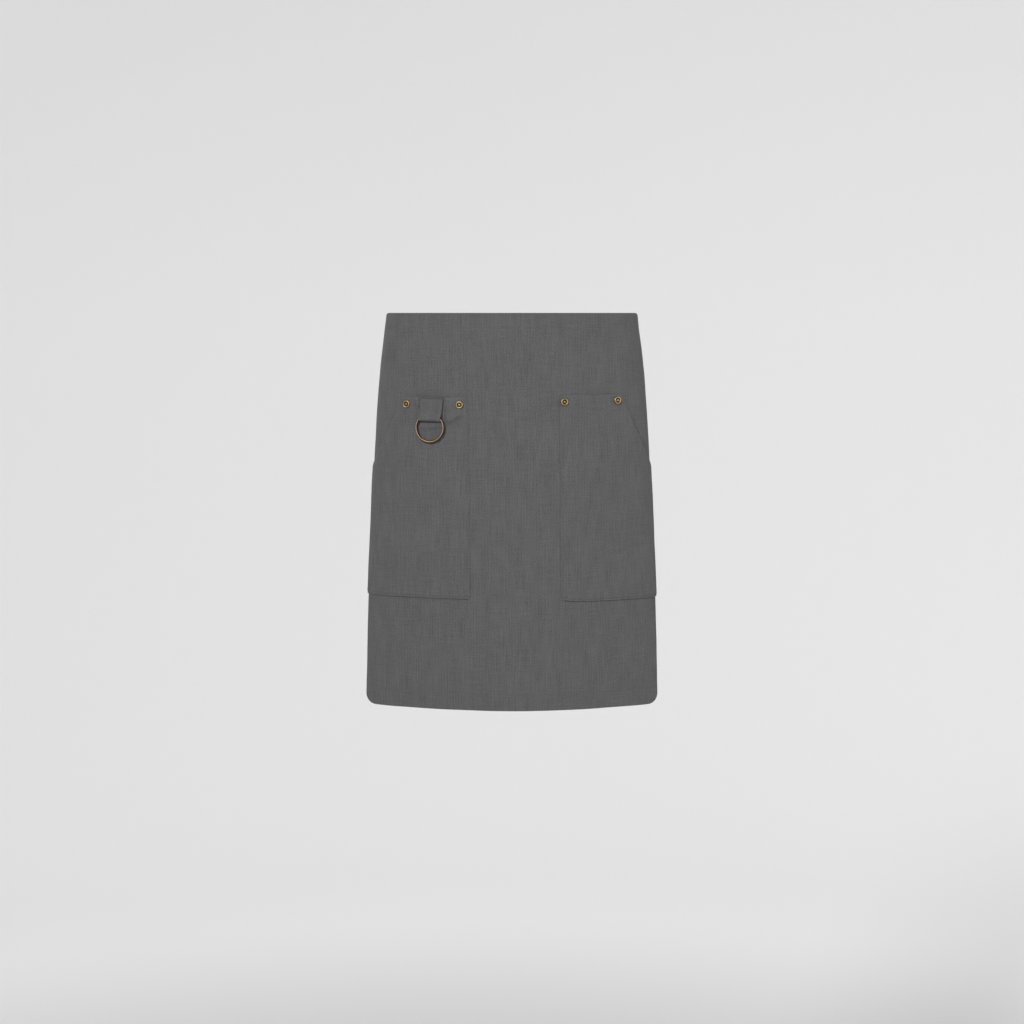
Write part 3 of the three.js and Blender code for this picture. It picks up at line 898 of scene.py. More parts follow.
@dataclass
class Panel:
    """The apron's cloth, turned in and sewn at the top, the sides and the hem."""

    form: WornForm
    sewing: Sewing
    columns: int = 170
    rows: int = 200
    flat_width: float = 400.0
    top_turning: float = 19.0
    hem_turning: float = 20.0
    side_turning: float = 12.0
    top_corner: float = 4.8
    hem_corner: float = 13.0
    hem_shift: float = 40.0
    row_steps: int = 240
    row_end: float = 2.0

    @staticmethod
    def corner_rise(inside: Array, radius: float) -> Array:
        """How far a round corner has drawn back from the edge, at distances in from the side."""
        short = np.clip(radius - inside, 0.0, radius)
        return radius - np.sqrt(radius**2 - short**2)

    def side_length(self, side: int, drop: Array) -> Array:
        """Length along the cloth from the middle to a side edge."""
        return self.form.along_at(np.full_like(drop, side), drop)

    def relief(self, along: Array, drop: Array) -> Array:
        """Height of the ripples and seams over the plain form.

        Args:
            along: lengths along the cloth.
            drop: drops from the panel's top edge.

        Returns:
            Heights.
        """
        length = self.form.length
        to_side = np.minimum(self.side_length(1, drop) - along, along - self.side_length(-1, drop))
        seams = self.sewing.seam(drop - self.top_turning, along)
        seams = seams + self.sewing.seam(drop - (length - self.hem_turning), along + self.hem_shift)
        seams = seams + self.sewing.seam(to_side - self.side_turning, drop)
        return seams + self.form.ripple(along, drop)

    def place(self, column: Array, row: Array) -> Spots:
        """Lay the flat panel on the worn form.

        Args:
            column: shares across, from the left.
            row: shares down.

        Returns:
            The spots.
        """
        length = self.form.length
        lines = (0.0, self.top_turning, length - self.hem_turning, length)
        level = crowded(length, lines, row)
        lines = (0.0, self.side_turning, self.flat_width - self.side_turning, self.flat_width)
        reach = crowded(self.flat_width, lines, column) / self.flat_width
        left = self.side_length(-1, level)
        right = self.side_length(1, level)
        along = left + (right - left) * reach
        share = self.form.share_at(along, level)
        inside = 1 - np.abs(share)
        top = self.corner_rise(inside * self.form.sections[0].half_width, self.top_corner)
        rise = self.corner_rise(inside * self.form.sections[-1].half_width, self.hem_corner)
        drop = top + (length - rise - top) * level / length
        to_side = np.minimum(right - along, along - left)
        turned = np.maximum.reduce([
            self.sewing.turned(level, self.top_turning),
            self.sewing.turned(length - level, self.hem_turning),
            self.sewing.turned(to_side, self.side_turning),
        ])
        layers = (self.sewing.layer + self.sewing.turning * turned) / self.sewing.wall
        points = self.form.off(share, drop, self.relief(along, drop))
        return Spots(points, np.stack([along, -drop], axis=1), layers)

    def row_of(self, along: Array, drop: Array, inner: bool) -> Seam:
        """A row of stitches on the panel.

        Args:
            along: lengths along the cloth.
            drop: drops from the top edge.
            inner: whether it is on the inner face.

        Returns:
            The row.
        """
        share = self.form.share_at(along, drop)
        normals = self.form.normals(share, drop)
        depth = self.sewing.wall if inner else 0.0
        points = self.form.off(share, drop, self.relief(along, drop) - depth)
        return Seam(points, -normals if inner else normals)

    def seams(self, inner: bool) -> list[Seam]:
        """The rows along the top, the sides and the hem.

        Args:
            inner: whether they are on the inner face.

        Returns:
            The rows.
        """
        length = self.form.length
        rows = []
        for drop in (self.top_turning, length - self.hem_turning):
            level = np.full(self.row_steps, drop)
            ends = [self.side_length(side, level[:1])[0] for side in (-1, 1)]
            along = np.linspace(ends[0] + self.row_end, ends[1] - self.row_end, self.row_steps)
            rows.append(self.row_of(along, level, inner))
        for side in (-1, 1):
            drop = np.linspace(self.row_end, length - self.row_end, self.row_steps)
            along = self.side_length(side, drop) - side * self.side_turning
            rows.append(self.row_of(along, drop, inner))
        return rows

    def build(self, finishes: Finishes, thread: Thread) -> None:
        """Build and dress the panel.

        Args:
            finishes: the materials.
            thread: the stitches.
        """
        mesh = make_sheet("panel_cloth", self.columns, self.rows, self.place)
        piece = new_piece("panel_cloth", mesh, finishes.twill)
        thicken(piece, self.sewing.wall)
        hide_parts("panel")
        rows = self.seams(inner=False) + self.seams(inner=True)
        stitches = thread.sew("panel_stitches", rows, finishes.thread)


@dataclass
class Crease:
    """A soft crease across a pocket, from a start over a middle to an end, each along and down."""

    start: tuple[float, float]
    middle: tuple[float, float]
    end: tuple[float, float]
    width: float
    height: float

    def lift(self, along: Array, drop: Array) -> Array:
        """How far the crease lifts the cloth.

        Args:
            along: lengths along the cloth.
            drop: drops from the panel's top edge.

        Returns:
            Heights.
        """
        legs = ((self.start, self.middle), (self.middle, self.end))
        nearest = np.full_like(along, np.inf)
        for (x0, y0), (x1, y1) in legs:
            run = np.array([x1 - x0, y1 - y0])
            share = np.clip(((along - x0) * run[0] + (drop - y0) * run[1]) / (run @ run), 0.0, 1.0)
            gap = np.hypot(along - x0 - share * run[0], drop - y0 - share * run[1])
            nearest = np.minimum(nearest, gap)
        return self.height * bell(nearest, self.width)


@dataclass
class Pocket:
    """A patch pocket with a slanted side mouth, sewn on at its inner edge, bottom and side."""

    name: str
    side: int
    inner_top: float
    inner_low: float
    top: float
    bottom: float
    form: WornForm
    sewing: Sewing
    creases: tuple[Crease, ...] = ()
    corner: float = 138.0
    mouth_end: float = 190.0
    side_turning: float = 12.0
    inner_edge: Edge = Edge(9.0, 0.45, 5.5)
    bottom_edge: Edge = Edge(9.0, 1.5, 1.6)
    mouth_edge: Edge = Edge(19.0, 1.0, 1.5)
    edge_row: float = 1.9
    bottom_pull: float = 3.0
    tack: tuple[float, float] = (5.2, 2.9)
    tack_size: tuple[float, float] = (3.9, 2.7)
    tack_height: float = 0.4
    tack_rim: float = 0.3
    tack_hollow: float = 0.4
    tack_steps: int = 60
    corner_lift: float = 0.0
    corner_reach: float = 0.18
    half_width: float = 80.0
    height: float = 250.0
    cut_at: float = 600.0
    gape: float = 2.4
    side_gape: float = 0.3
    gape_at_mouth: float = 0.25
    softness: float = 0.35
    row_steps: int = 160
    row_start: float = 1.0
    row_column: float = 0.03
    side_row_start: float = 4.0
    mouth_row_end: float = 0.9
    mouth_row_turn: float = 0.86
    turn_steps: int = 20
    columns: int = 56
    rows: int = 150

    def along(self, share: Array, drop: Array) -> Array:
        """Length along the cloth, from the middle towards this side."""
        return self.side * self.form.along_at(self.side * share, drop)

    def corner_along(self, drop: Array) -> Array:
        """Length along the cloth to the line under the mouth's corner."""
        return self.along(self.corner / self.form.column("half_width", drop), drop)

    def inner_along(self, drop: Array) -> Array:
        """Length along the cloth to the inner edge.

        Args:
            drop: drops from the panel's top edge.

        Returns:
            Lengths.
        """
        share = (drop - self.top) / (self.bottom - self.top)
        across = self.inner_top + (self.inner_low - self.inner_top) * share
        return self.along(across / self.form.column("half_width", drop), drop)

    def side_along(self, drop: Array) -> Array:
        """Length along the cloth to the side edge."""
        return self.along(np.ones_like(drop), drop)

    def mouth_at(self, past: Array) -> Array:
        """Drop of the mouth.

        Args:
            past: shares of the way from its corner to the side.

        Returns:
            Drops.
        """
        level = np.full_like(past, self.mouth_end)
        start = self.corner_along(level)
        along = start + (self.side_along(level) - start) * past
        share = self.side * self.form.share_at(self.side * along, level)
        corner = self.corner / self.form.column("half_width", level)
        return self.top + (self.mouth_end - self.top) * np.clip((share - corner) / (1 - corner), 0.0, 1.0)

    def off(self, column: Array, row: Array) -> Array:
        """How far the outer face stands off the panel, without its relief.

        Args:
            column: columns of the pocket.
            row: shares of the way down from the mouth.

        Returns:
            Distances.
        """
        waves = np.sqrt(np.sin(math.pi * column) ** 2 + self.softness**2) - self.softness
        fullest = math.hypot(1.0, self.softness) - self.softness
        swell = waves / fullest * np.where(column < 1, 1.0, self.side_gape)
        hang = np.sin(math.pi * (self.gape_at_mouth + (1 - self.gape_at_mouth) * row))
        return self.sewing.gap + self.sewing.wall + self.gape * swell * hang

    def low_edge(self, column: Array) -> Array:
        """Drop of the bottom edge, which may be drawn up at the inner corner."""
        return self.bottom - self.corner_lift * bell(column, self.corner_reach)

    def spot(self, column: Array, drop: Array) -> tuple[Array, Array]:
        """A place on the pocket.

        Args:
            column: from 0 at the inner edge over 1 at the mouth's corner to 2 at the side.
            drop: drops from the panel's top edge.

        Returns:
            Length along the cloth, and stand-off from the panel.
        """
        past = np.clip(column - 1, 0.0, 1.0)
        mouth = self.mouth_at(past)
        inner = self.inner_along(drop)
        corner = self.corner_along(drop)
        along = np.where(
            column < 1,
            inner + (corner - inner) * np.minimum(column, 1.0),
            corner + (self.side_along(drop) - corner) * past,
        )
        row = np.clip((drop - mouth) / (self.bottom - mouth), 0.0, 1.0)
        low = self.pressed(along, drop, column, self.sewing.gap + self.sewing.wall, 0.0)
        return along, self.off(column, row) - low + self.relief(along, drop, column)

    def edges(self, along: Array, drop: Array, column: Array) -> tuple[Array, Array, Array]:
        """Distances in from the edges.

        Args:
            along: lengths along the cloth.
            drop: drops from the panel's top edge.
            column: columns of the pocket.

        Returns:
            Distances from the inner edge, the bottom and the mouth.
        """
        to_inner = along - self.inner_along(drop)
        to_bottom = self.low_edge(column) - drop
        return to_inner, to_bottom, self.from_mouth(drop, column)

    def pressed(
        self, along: Array, drop: Array, column: Array, full: Array | float, lost: float
    ) -> Array:
        """How much is pressed away at the pocket's edges.

        Args:
            along: lengths along the cloth.
            drop: drops from the panel's top edge.
            column: columns of the pocket.
            full: what there is away from the edges.
            lost: what an edge's height doesn't count.

        Returns:
            What is missing from the full height or wall.
        """
        kinds = (self.inner_edge, self.bottom_edge, self.mouth_edge)
        pairs = zip(kinds, self.edges(along, drop, column))
        missing = [(full - kind.height + lost) * kind.pressed(inside) for kind, inside in pairs]
        return np.maximum(np.maximum.reduce(missing), 0.0)

    def slant_share(self) -> float:
        """How much of a drop below the slanted mouth lies square to it.

        Returns:
            A share of the drop.
        """
        level = np.array([self.mouth_end])
        across = float((self.side_along(level) - self.corner_along(level))[0])
        return across / math.hypot(across, self.mouth_end - self.top)

    def from_mouth(self, drop: Array, column: Array) -> Array:
        """Distance in from the mouth's edge."""
        below = drop - self.mouth_at(np.clip(column - 1, 0.0, 1.0))
        return np.where(column < 1, below, np.minimum(drop - self.top, below * self.slant_share()))

    def relief(self, along: Array, drop: Array, column: Array) -> Array:
        """Height of seams, ripples and creases on the pocket.

        Args:
            along: lengths along the cloth.
            drop: drops from the panel's top edge.
            column: columns of the pocket.

        Returns:
            Heights.
        """
        to_inner, to_bottom, to_mouth = self.edges(along, drop, column)
        seam = self.sewing.seam(to_inner - self.edge_row, drop)
        seam = seam + self.sewing.seam(to_bottom - self.edge_row, along, self.bottom_pull)
        seam = seam + self.sewing.seam(self.side_along(drop) - along - self.side_turning, drop)
        seam = seam + self.sewing.seam(to_mouth - self.mouth_edge.turning, along)
        lift = sum(crease.lift(along, drop) for crease in self.creases)
        tack_along = (to_inner - self.tack[0]) / self.tack_size[0]
        tack_up = (to_bottom - self.tack[1]) / self.tack_size[1]
        reach = np.hypot(tack_along, tack_up)
        tack = self.tack_height * (bell(reach - 1, self.tack_rim) - bell(reach, self.tack_hollow))
        return seam + lift + tack + self.form.ripple(self.side * along, drop)

    def column_at(self, outward: Array) -> Array:
        """Columns of the pocket, with the mouth's corner halfway.

        Args:
            outward: shares outwards from the inner edge.

        Returns:
            Columns.
        """
        sewn = crowded(self.half_width, (self.edge_row,), np.clip(2 * outward, 0.0, 1.0))
        side_row = self.half_width - self.side_turning
        past = crowded(self.half_width, (side_row,), np.clip(2 * outward - 1, 0.0, 1.0))
        return (sewn + past) / self.half_width

    def place(self, across: Array, down: Array) -> Spots:
        """Lay the flat pocket on the panel.

        Args:
            across: shares across, from the left.
            down: shares down.

        Returns:
            The spots.
        """
        column = self.column_at(across if self.side > 0 else 1 - across)
        mouth = self.mouth_at(np.clip(column - 1, 0.0, 1.0))
        lines = (0.0, self.mouth_edge.turning, self.height - self.edge_row)
        reach = crowded(self.height, lines, down) / self.height
        drop = mouth + (self.low_edge(column) - mouth) * reach
        along, off = self.spot(column, drop)
        turnings = (self.inner_edge.turning, self.bottom_edge.turning, self.mouth_edge.turning)
        edges = self.edges(along, drop, column)
        turned = np.maximum.reduce([self.sewing.turned(*edge) for edge in zip(edges, turnings)])
        wall = self.sewing.layer + self.sewing.turning * turned
        wall = wall - self.pressed(along, drop, column, wall, self.sewing.edge_gap)
        share = self.form.share_at(self.side * along, drop)
        flat = np.stack([self.side * along, self.cut_at * self.side - drop], axis=1)
        return Spots(self.form.off(share, drop, off), flat, wall / self.sewing.wall)

    def row_of(self, column: Array, drop: Array, inner: bool = False) -> Seam:
        """A row of stitches on the pocket's outer face, or where it comes through inside the panel.

        Args:
            column: columns of the pocket.
            drop: drops from the panel's top edge.
            inner: whether it is inside the panel.

        Returns:
            The row.
        """
        along, off = self.spot(column, drop)
        share = self.form.share_at(self.side * along, drop)
        normals = self.form.normals(share, drop)
        if not inner:
            return Seam(self.form.off(share, drop, off), normals)
        depth = self.form.ripple(self.side * along, drop) - self.sewing.layer
        return Seam(self.form.off(share, drop, depth), -normals)

    def column_of(self, along: Array, drop: Array) -> Array:
        """Column of a place.

        Args:
            along: lengths along the cloth.
            drop: drops from the panel's top edge.

        Returns:
            Columns.
        """
        inner = self.inner_along(drop)
        corner = self.corner_along(drop)
        return np.where(
            along < corner,
            (along - inner) / (corner - inner),
            1 + (along - corner) / (self.side_along(drop) - corner),
        )

    def seams(self) -> list[Seam]:
        """The rows along the inner edge, the bottom, the side and the mouth.

        Returns:
            The rows.
        """
        steps = self.row_steps
        rows = []
        inner_low = self.bottom - self.corner_lift - self.edge_row
        drop = np.linspace(self.top + self.row_start, inner_low, steps)
        inner = self.column_of(self.inner_along(drop) + self.edge_row, drop)
        column = np.linspace(self.row_column, 2.0, steps)
        low = np.linspace(self.mouth_end + self.side_row_start, self.bottom - self.edge_row, steps)
        side = self.column_of(self.side_along(low) - self.side_turning, low)
        for inside in (False, True):
            rows.append(self.row_of(inner, drop, inside))
            rows.append(self.row_of(column, self.low_edge(column) - self.edge_row, inside))
        rows.append(self.row_of(side, low))
        past = np.linspace(0.0, self.mouth_row_end, steps)
        slanted = self.mouth_at(past) + self.mouth_edge.turning / self.slant_share()
        level = self.top + self.mouth_edge.turning
        turn = self.mouth_row_turn
        joins = np.linspace(0.0, 1.0, self.turn_steps)
        rows.append(self.row_of(1 + past, slanted))
        rows.append(self.row_of(np.linspace(self.row_column, turn, steps), np.full(steps, level)))
        rows.append(self.row_of(turn + (1 - turn) * joins, level + (slanted[0] - level) * joins))
        return rows

    def tack_row(self) -> Seam:
        """The ring of stitches that locks the inner lower corner.

        Returns:
            The row.
        """
        turn = np.linspace(0.0, 2 * math.pi, self.tack_steps)
        drop = self.low_edge(np.zeros(1))[0] - self.tack[1] + self.tack_size[1] * np.sin(turn)
        along = self.inner_along(drop) + self.tack[0] + self.tack_size[0] * np.cos(turn)
        return self.row_of(self.column_of(along, drop), drop)

    def build(self, finishes: Finishes, thread: Thread) -> None:
        """Build and dress the pocket.

        Args:
            finishes: the materials.
            thread: the stitches.
        """
        name = f"{self.name}_cloth"
        mesh = make_sheet(name, 2 * self.columns, self.rows, self.place)
        piece = new_piece(name, mesh, finishes.twill)
        thicken(piece, self.sewing.wall)
        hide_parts(self.name)
        stitches = thread.sew(f"{self.name}_stitches", [*self.seams(), self.tack_row()], finishes.thread)

    def seat(self, across: float, drop: float) -> tuple[Vector, Vector]:
        """Where something lies on the pocket.

        Args:
            across: distance from the middle, seen from the front.
            drop: drop from the panel's top edge.

        Returns:
            The point on the pocket's face and the way it looks, in millimetres.
        """
        at = np.array([drop])
        share = np.array([self.side * across]) / self.form.column("half_width", at)
        strays = (self.inner_low - self.inner_top) * (drop - self.top) / (self.bottom - self.top)
        inner = self.inner_top + strays
        column = np.array([(across - inner) / (self.corner - inner)])
        row = (at - self.top) / (self.bottom - self.top)
        point = self.form.off(share, at, self.off(column, row))[0]
        return Vector(point), Vector(self.form.normals(share, at)[0])


@dataclass(frozen=True)
class Turn:
    """A point of a turned outline: radius, height, and how bright the metal is shown there, which at a
    rivet cap's foot also paints shade.
    """

    radius: float
    height: float
    wear_and_painted_light: float


@dataclass
class Rivet:
    """A capped rivet: a domed cap with a plain ring and dot, a shank, and a flat end behind the panel."""

    name: str
    across: float
    drop: float
    pocket: Pocket
    radius: float = 4.9
    height: float = 2.0
    shank: float = 1.7
    back_radius: float = 4.2
    back_height: float = 1.1
    back_flat: float = 0.8
    back_shoulder: float = 0.6
    back_wear: float = 0.6
    thinness: float = 0.4
    segments: int = 40

    def outline(self, stack: float) -> list[Turn]:
        """The outline from the middle of the cap to the middle of the closed end.

        Args:
            stack: thickness of the cloth between the two.

        Returns:
            The outline's points.
        """
        cap = [
            Turn(0.0, 0.95, 0.95),
            Turn(0.16, 0.93, 0.9),
            Turn(0.25, 0.80, 0.3),
            Turn(0.31, 0.62, 0.05),
            Turn(0.55, 0.62, 0.05),
            Turn(0.62, 0.80, 0.3),
            Turn(0.70, 0.97, 0.95),
            Turn(0.84, 0.97, 1.0),
            # The cap's foot is left dark: stain, and painted shade where the cap meets the cloth
            Turn(0.96, 0.66, 0.6),
            Turn(1.0, 0.3, 0.1),
            Turn(0.97, 0.0, -0.2),
        ]
        back = [
            (self.shank, 0.0),
            (self.shank, -stack),
            (self.back_radius, -stack),
            (self.back_radius, -stack - self.back_shoulder * self.back_height),
            (self.back_flat * self.back_radius, -stack - self.back_height),
            (0.0, -stack - self.back_height),
        ]
        turned = [Turn(turn.radius * self.radius, turn.height * self.height, turn.wear_and_painted_light) for turn in cap]
        return turned + [Turn(radius, height, self.back_wear) for radius, height in back]

    def build(self, finishes: Finishes) -> None:
        """Build and dress the rivet.

        Args:
            finishes: the materials.
        """
        sewing = self.pocket.sewing
        face, out = self.pocket.seat(self.across, self.drop)
        flat = np.array([self.drop])
        share = np.array([self.pocket.side * self.across]) / self.pocket.form.column("half_width", flat)
        panel = Vector(self.pocket.form.face(share, flat)[0])
        stack = (face - panel).length + sewing.layer + 2 * sewing.gap
        shape = bmesh.new()
        wear_and_painted_light = shape.verts.layers.float.new(WEAR_AND_PAINTED_LIGHT)
        thin = shape.verts.layers.float.new(THIN)
        turns = self.outline(stack)
        line = [shape.verts.new((turn.radius, 0.0, turn.height)) for turn in turns]
        for vert, turn in zip(line, turns):
            vert[wear_and_painted_light] = turn.wear_and_painted_light
            vert[thin] = self.thinness
        edges = [shape.edges.new(pair) for pair in zip(line, line[1:])]
        bmesh.ops.spin(
            shape, geom=line + edges, cent=(0, 0, 0), axis=(0, 0, 1), angle=2 * math.pi,
            steps=self.segments, use_merge=True,
        )
        bmesh.ops.remove_doubles(shape, verts=shape.verts[:], dist=MERGE)
        bmesh.ops.recalc_face_normals(shape, faces=shape.faces[:])
        turn = Vector((0, 0, 1)).rotation_difference(out).to_matrix().to_4x4()
        place = Matrix.Translation((face + out * sewing.gap) * MM) @ turn @ Matrix.Scale(MM, 4)
        bmesh.ops.transform(shape, matrix=place, verts=shape.verts[:])
        piece = new_piece(f"{self.name}_metal", to_mesh(shape, self.name), finishes.brass)
        smooth = piece.modifiers.new("Round", "SUBSURF")
        smooth.levels = 1
        smooth.render_levels = 1
        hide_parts(self.name)


@dataclass
class Hanger:
    """The place of the D-ring's bar: across, inward and up, in millimetres, from the frame's hinge."""

    place: Matrix

    @classmethod
    def from_frame(cls, frame: dict) -> "Hanger":
        """Read the bar's place from the hinge and from how the ring hangs.

        Args:
            frame: the loaded frame.

        Returns:
            The hanger.
        """
        hinge = frame["joints"][0]
        bar = Vector(hinge["pos_m"])
        right = -Vector(hinge["axis"]).normalized()
        points = [vert.co for vert in frame["nodes"]["d_ring"].data.vertices]
        hangs = sum(points, Vector()) / len(points) - bar
        up = -(hangs - right * hangs.dot(right)).normalized()
        axes = Matrix((right, up.cross(right), up)).transposed().to_4x4()
        return cls(Matrix.Translation(bar) @ axes @ Matrix.Scale(MM, 4))


@dataclass
class DRing:
    """A D-shaped ring of round wire, hung by its straight bar."""

    hanger: Hanger
    radius: float = 17.7
    bar: float = 10.5
    bend: float = 2.2
    wire: float = 1.5
    rubbed_from: float = 17.0
    rubbed_over: float = 9.0
    rub_and_highlight_most: float = 1.25
    stain_and_shade_least: float = -0.2
    rub_and_highlight_power: int = 4
    sides: int = 20
    bar_steps: int = 6
    bend_steps: int = 10
    bow_steps: int = 84
    merge: float = 1e-3

    def build(self, finishes: Finishes) -> None:
        """Sweep the wire round the ring and dress it.

        Args:
            finishes: the materials.
        """
        bend_across = math.sqrt((self.radius - self.bend) ** 2 - (self.bar - self.bend) ** 2)
        meets = math.atan2(self.bar - self.bend, bend_across)
        shape = bmesh.new()
        across = Matrix.Rotation(math.pi / 2, 4, "Y")
        bmesh.ops.create_circle(
            shape, cap_ends=False, segments=self.sides, radius=self.wire, matrix=across
        )
        corner = math.pi / 2 - meets
        end = self.straight(shape, shape.edges[:], bend_across)
        end = self.turn(shape, end, (bend_across, 0, -self.bend), corner, self.bend_steps)
        end = self.turn(shape, end, (0, 0, -self.bar), math.pi + 2 * meets, self.bow_steps)
        end = self.turn(shape, end, (-bend_across, 0, -self.bend), corner, self.bend_steps)
        self.straight(shape, end, bend_across)
        bmesh.ops.remove_doubles(shape, verts=shape.verts[:], dist=self.merge)
        bmesh.ops.recalc_face_normals(shape, faces=shape.faces[:])
        wear_and_painted_light = shape.verts.layers.float.new(WEAR_AND_PAINTED_LIGHT)
        thin = shape.verts.layers.float.new(THIN)
        for vert in shape.verts:
            # Front and back faces of the wire are bright and its inner and outer rims dark: partly
            # rubbing, and partly a painted highlight along the faces and painted shade at the rims
            facing = abs(vert.co.y) / self.wire
            low = (-vert.co.z - self.rubbed_from) / self.rubbed_over
            vert[wear_and_painted_light] = self.rub_and_highlight_most * facing**self.rub_and_highlight_power + self.stain_and_shade_least
            vert[thin] = min(max(low, 0.0), 1.0)
        bmesh.ops.transform(shape, matrix=self.hanger.place, verts=shape.verts[:])
        mesh = to_mesh(shape, "d_ring_wire")
        piece = new_piece("d_ring_wire", mesh, finishes.copper, Body.RING)
        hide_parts("d_ring")

    def straight(
        self, shape: bmesh.types.BMesh, edges: list[bmesh.types.BMEdge], length: float
    ) -> list[bmesh.types.BMEdge]:
        """Draw the wire on along the bar.

        Args:
            shape: the wire so far.
            edges: its end.
            length: how far it goes on.

        Returns:
            The edges of its new end.
        """
        for _ in range(self.bar_steps):
            made = bmesh.ops.extrude_edge_only(shape, edges=edges)["geom"]
            verts = [part for part in made if isinstance(part, bmesh.types.BMVert)]
            bmesh.ops.translate(shape, verts=verts, vec=(length / self.bar_steps, 0, 0))
            edges = [
                part for part in made
                if isinstance(part, bmesh.types.BMEdge) and all(vert in verts for vert in part.verts)
            ]
        return edges

    @staticmethod
    def turn(
        shape: bmesh.types.BMesh,
        edges: list[bmesh.types.BMEdge],
        centre: tuple[float, float, float],
        angle: float,
        steps: int,
    ) -> list[bmesh.types.BMEdge]:
        """Bend the wire on about a centre.

        Args:
            shape: the wire so far.
            edges: its end.
            centre: the middle of the bend.
            angle: how far it bends.
            steps: steps of the bend.

        Returns:
            The edges of its new end.
        """
        verts = list(dict.fromkeys(vert for edge in edges for vert in edge.verts))
        made = bmesh.ops.spin(
            shape, geom=verts + edges, cent=centre, axis=(0, 1, 0), angle=angle, steps=steps,
            use_merge=False,
        )
        return [part for part in made["geom_last"] if isinstance(part, bmesh.types.BMEdge)]


@dataclass
class RingLoop:
    """A strip of cloth folded under the D-ring's bar and sewn to the top of the pocket."""

    hanger: Hanger
    sewing: Sewing
    height: float = 26.9
    top_width: float = 29.3
    low_width: float = 27.4
    lean: float = 0.025
    closes: float = 11.0
    settles: float = 0.8
    bore: float = 1.85
    groove_at: float = 1.6
    groove: float = 1.2
    groove_width: float = 0.8
    curl: float = 0.35
    curl_edge: int = 4
    lifted_corner: float = 1.0
    lifted_edge: int = 6
    wall_share: float = 0.95
    edge_fold: float = 0.25
    rows_at: tuple[float, ...] = (4.2, 15.0)
    side_row: float = 2.0
    side_row_top: float = 1.5
    side_row_low: float = 1.0
    side_row_steps: int = 60
    cross_row_steps: int = 40
    across_step: float = 0.01
    run_step: float = 0.1
    bend_steps: int = 40
    cut_at: float = 700.0
    columns: int = 36
    rows: int = 120

    def profile(self) -> Array:
        """The strip's outer side from its front top, down under the bar and up its back.

        Returns:
            Points inward and up, from the bar.
        """
        fold = self.bore + self.sewing.layer
        closed = fold - 2 * self.sewing.layer
        t = np.linspace(0.0, 1.0, self.bend_steps + 1)[:, None]
        front = np.array([[closed, self.height], [closed, self.closes]])
        reach = self.closes / 2
        corners = ((closed, self.closes), (closed, reach), (-fold, reach), (-fold, 0.0))
        knots = [np.array(corner) for corner in corners]
        weights = ((1 - t) ** 3, 3 * t * (1 - t) ** 2, 3 * t**2 * (1 - t), t**3)
        swell = sum(weight * knot for weight, knot in zip(weights, knots))
        angle = math.pi * (1 + t)
        under = fold * np.concatenate([np.cos(angle), np.sin(angle)], axis=1)
        back = np.array([[fold, self.height]])
        return np.concatenate([front, swell[1:], under[1:], back])

    def strip(self, across: Array, run: Array) -> Array:
        """Points of the strip's outer side.

        Args:
            across: places across, from -0.5 to 0.5.
            run: lengths along the strip from its front top.

        Returns:
            Points in the hanger's own axes.
        """
        line = self.profile()
        lengths = self.lengths()
        inward = np.interp(run, lengths, line[:, 0])
        up = np.interp(run, lengths, line[:, 1])
        risen = np.maximum(up, 0.0) / self.height
        width = self.low_width + (self.top_width - self.low_width) * risen
        edge = (2 * np.abs(across)) ** self.curl_edge
        corner = np.clip(across + 0.5, 0.0, 1.0) ** self.lifted_edge
        curl = self.curl * edge * np.sin(math.pi * np.clip(risen, 0.0, 1.0))
        curl = curl + self.lifted_corner * corner * risen**2
        front = run < lengths[-1] / 2
        from_top = np.minimum(run, lengths[-1] - run)
        groove = self.groove * bell(from_top - self.groove_at, self.groove_width)
        inward = inward + self.settles * risen + groove - np.where(front, curl, 0.0)
        return np.stack([across * width + self.lean * self.height * risen, inward, up], axis=1)

    def lengths(self) -> Array:
        """Length along the strip to each point of its profile."""
        return run_along(self.profile())

    def in_place(self, points: Array) -> Array:
        """Points moved from the hanger's axes to the apron's, in millimetres."""
        turn = np.array(self.hanger.place)
        return (points @ turn[:3, :3].T + turn[:3, 3]) / MM

    def place(self, column: Array, row: Array) -> Spots:
        """Fold the flat strip round the bar.

        Args:
            column: shares across, from the left.
            row: shares along the strip.

        Returns:
            The spots.
        """
        run = row * self.lengths()[-1]
        points = self.strip(column - 0.5, run)
        flat = np.stack([(column - 0.5) * self.top_width + self.cut_at, -run], axis=1)
        return Spots(self.in_place(points), flat, np.ones_like(run))

    def row_of(self, across: Array, run: Array) -> Seam:
        """A row of stitches on the strip's front.

        Args:
            across: places across, from -0.5 to 0.5.
            run: lengths along the strip from its front top.

        Returns:
            The row.
        """
        points = self.in_place(self.strip(across, run))
        right = self.in_place(self.strip(across + self.across_step, run))
        right = right - self.in_place(self.strip(across - self.across_step, run))
        down = self.in_place(self.strip(across, run + self.run_step))
        down = down - self.in_place(self.strip(across, run - self.run_step))
        out = np.cross(down, right)
        return Seam(points, out / np.linalg.norm(out, axis=1, keepdims=True))

    def build(self, finishes: Finishes, thread: Thread) -> None:
        """Build and dress the loop.

        Args:
            finishes: the materials.
            thread: the stitches.
        """
        mesh = make_sheet("ring_loop_cloth", self.columns, self.rows, self.place)
        piece = new_piece("ring_loop_cloth", mesh, finishes.twill)
        thicken(piece, self.wall_share * self.sewing.layer, fold=self.edge_fold)
        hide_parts("ring_loop")
        down = np.linspace(self.side_row_top, self.height - self.side_row_low, self.side_row_steps)
        edge = 0.5 - self.side_row / self.top_width
        rows = [self.row_of(np.full_like(down, side * edge), down) for side in (-1, 1)]
        across = np.linspace(-edge, edge, self.cross_row_steps)
        rows += [self.row_of(across, np.full_like(across, run)) for run in self.rows_at]
        stitches = thread.sew("ring_loop_stitches", rows, finishes.thread)
        whole = self.lengths()[-1] * MM


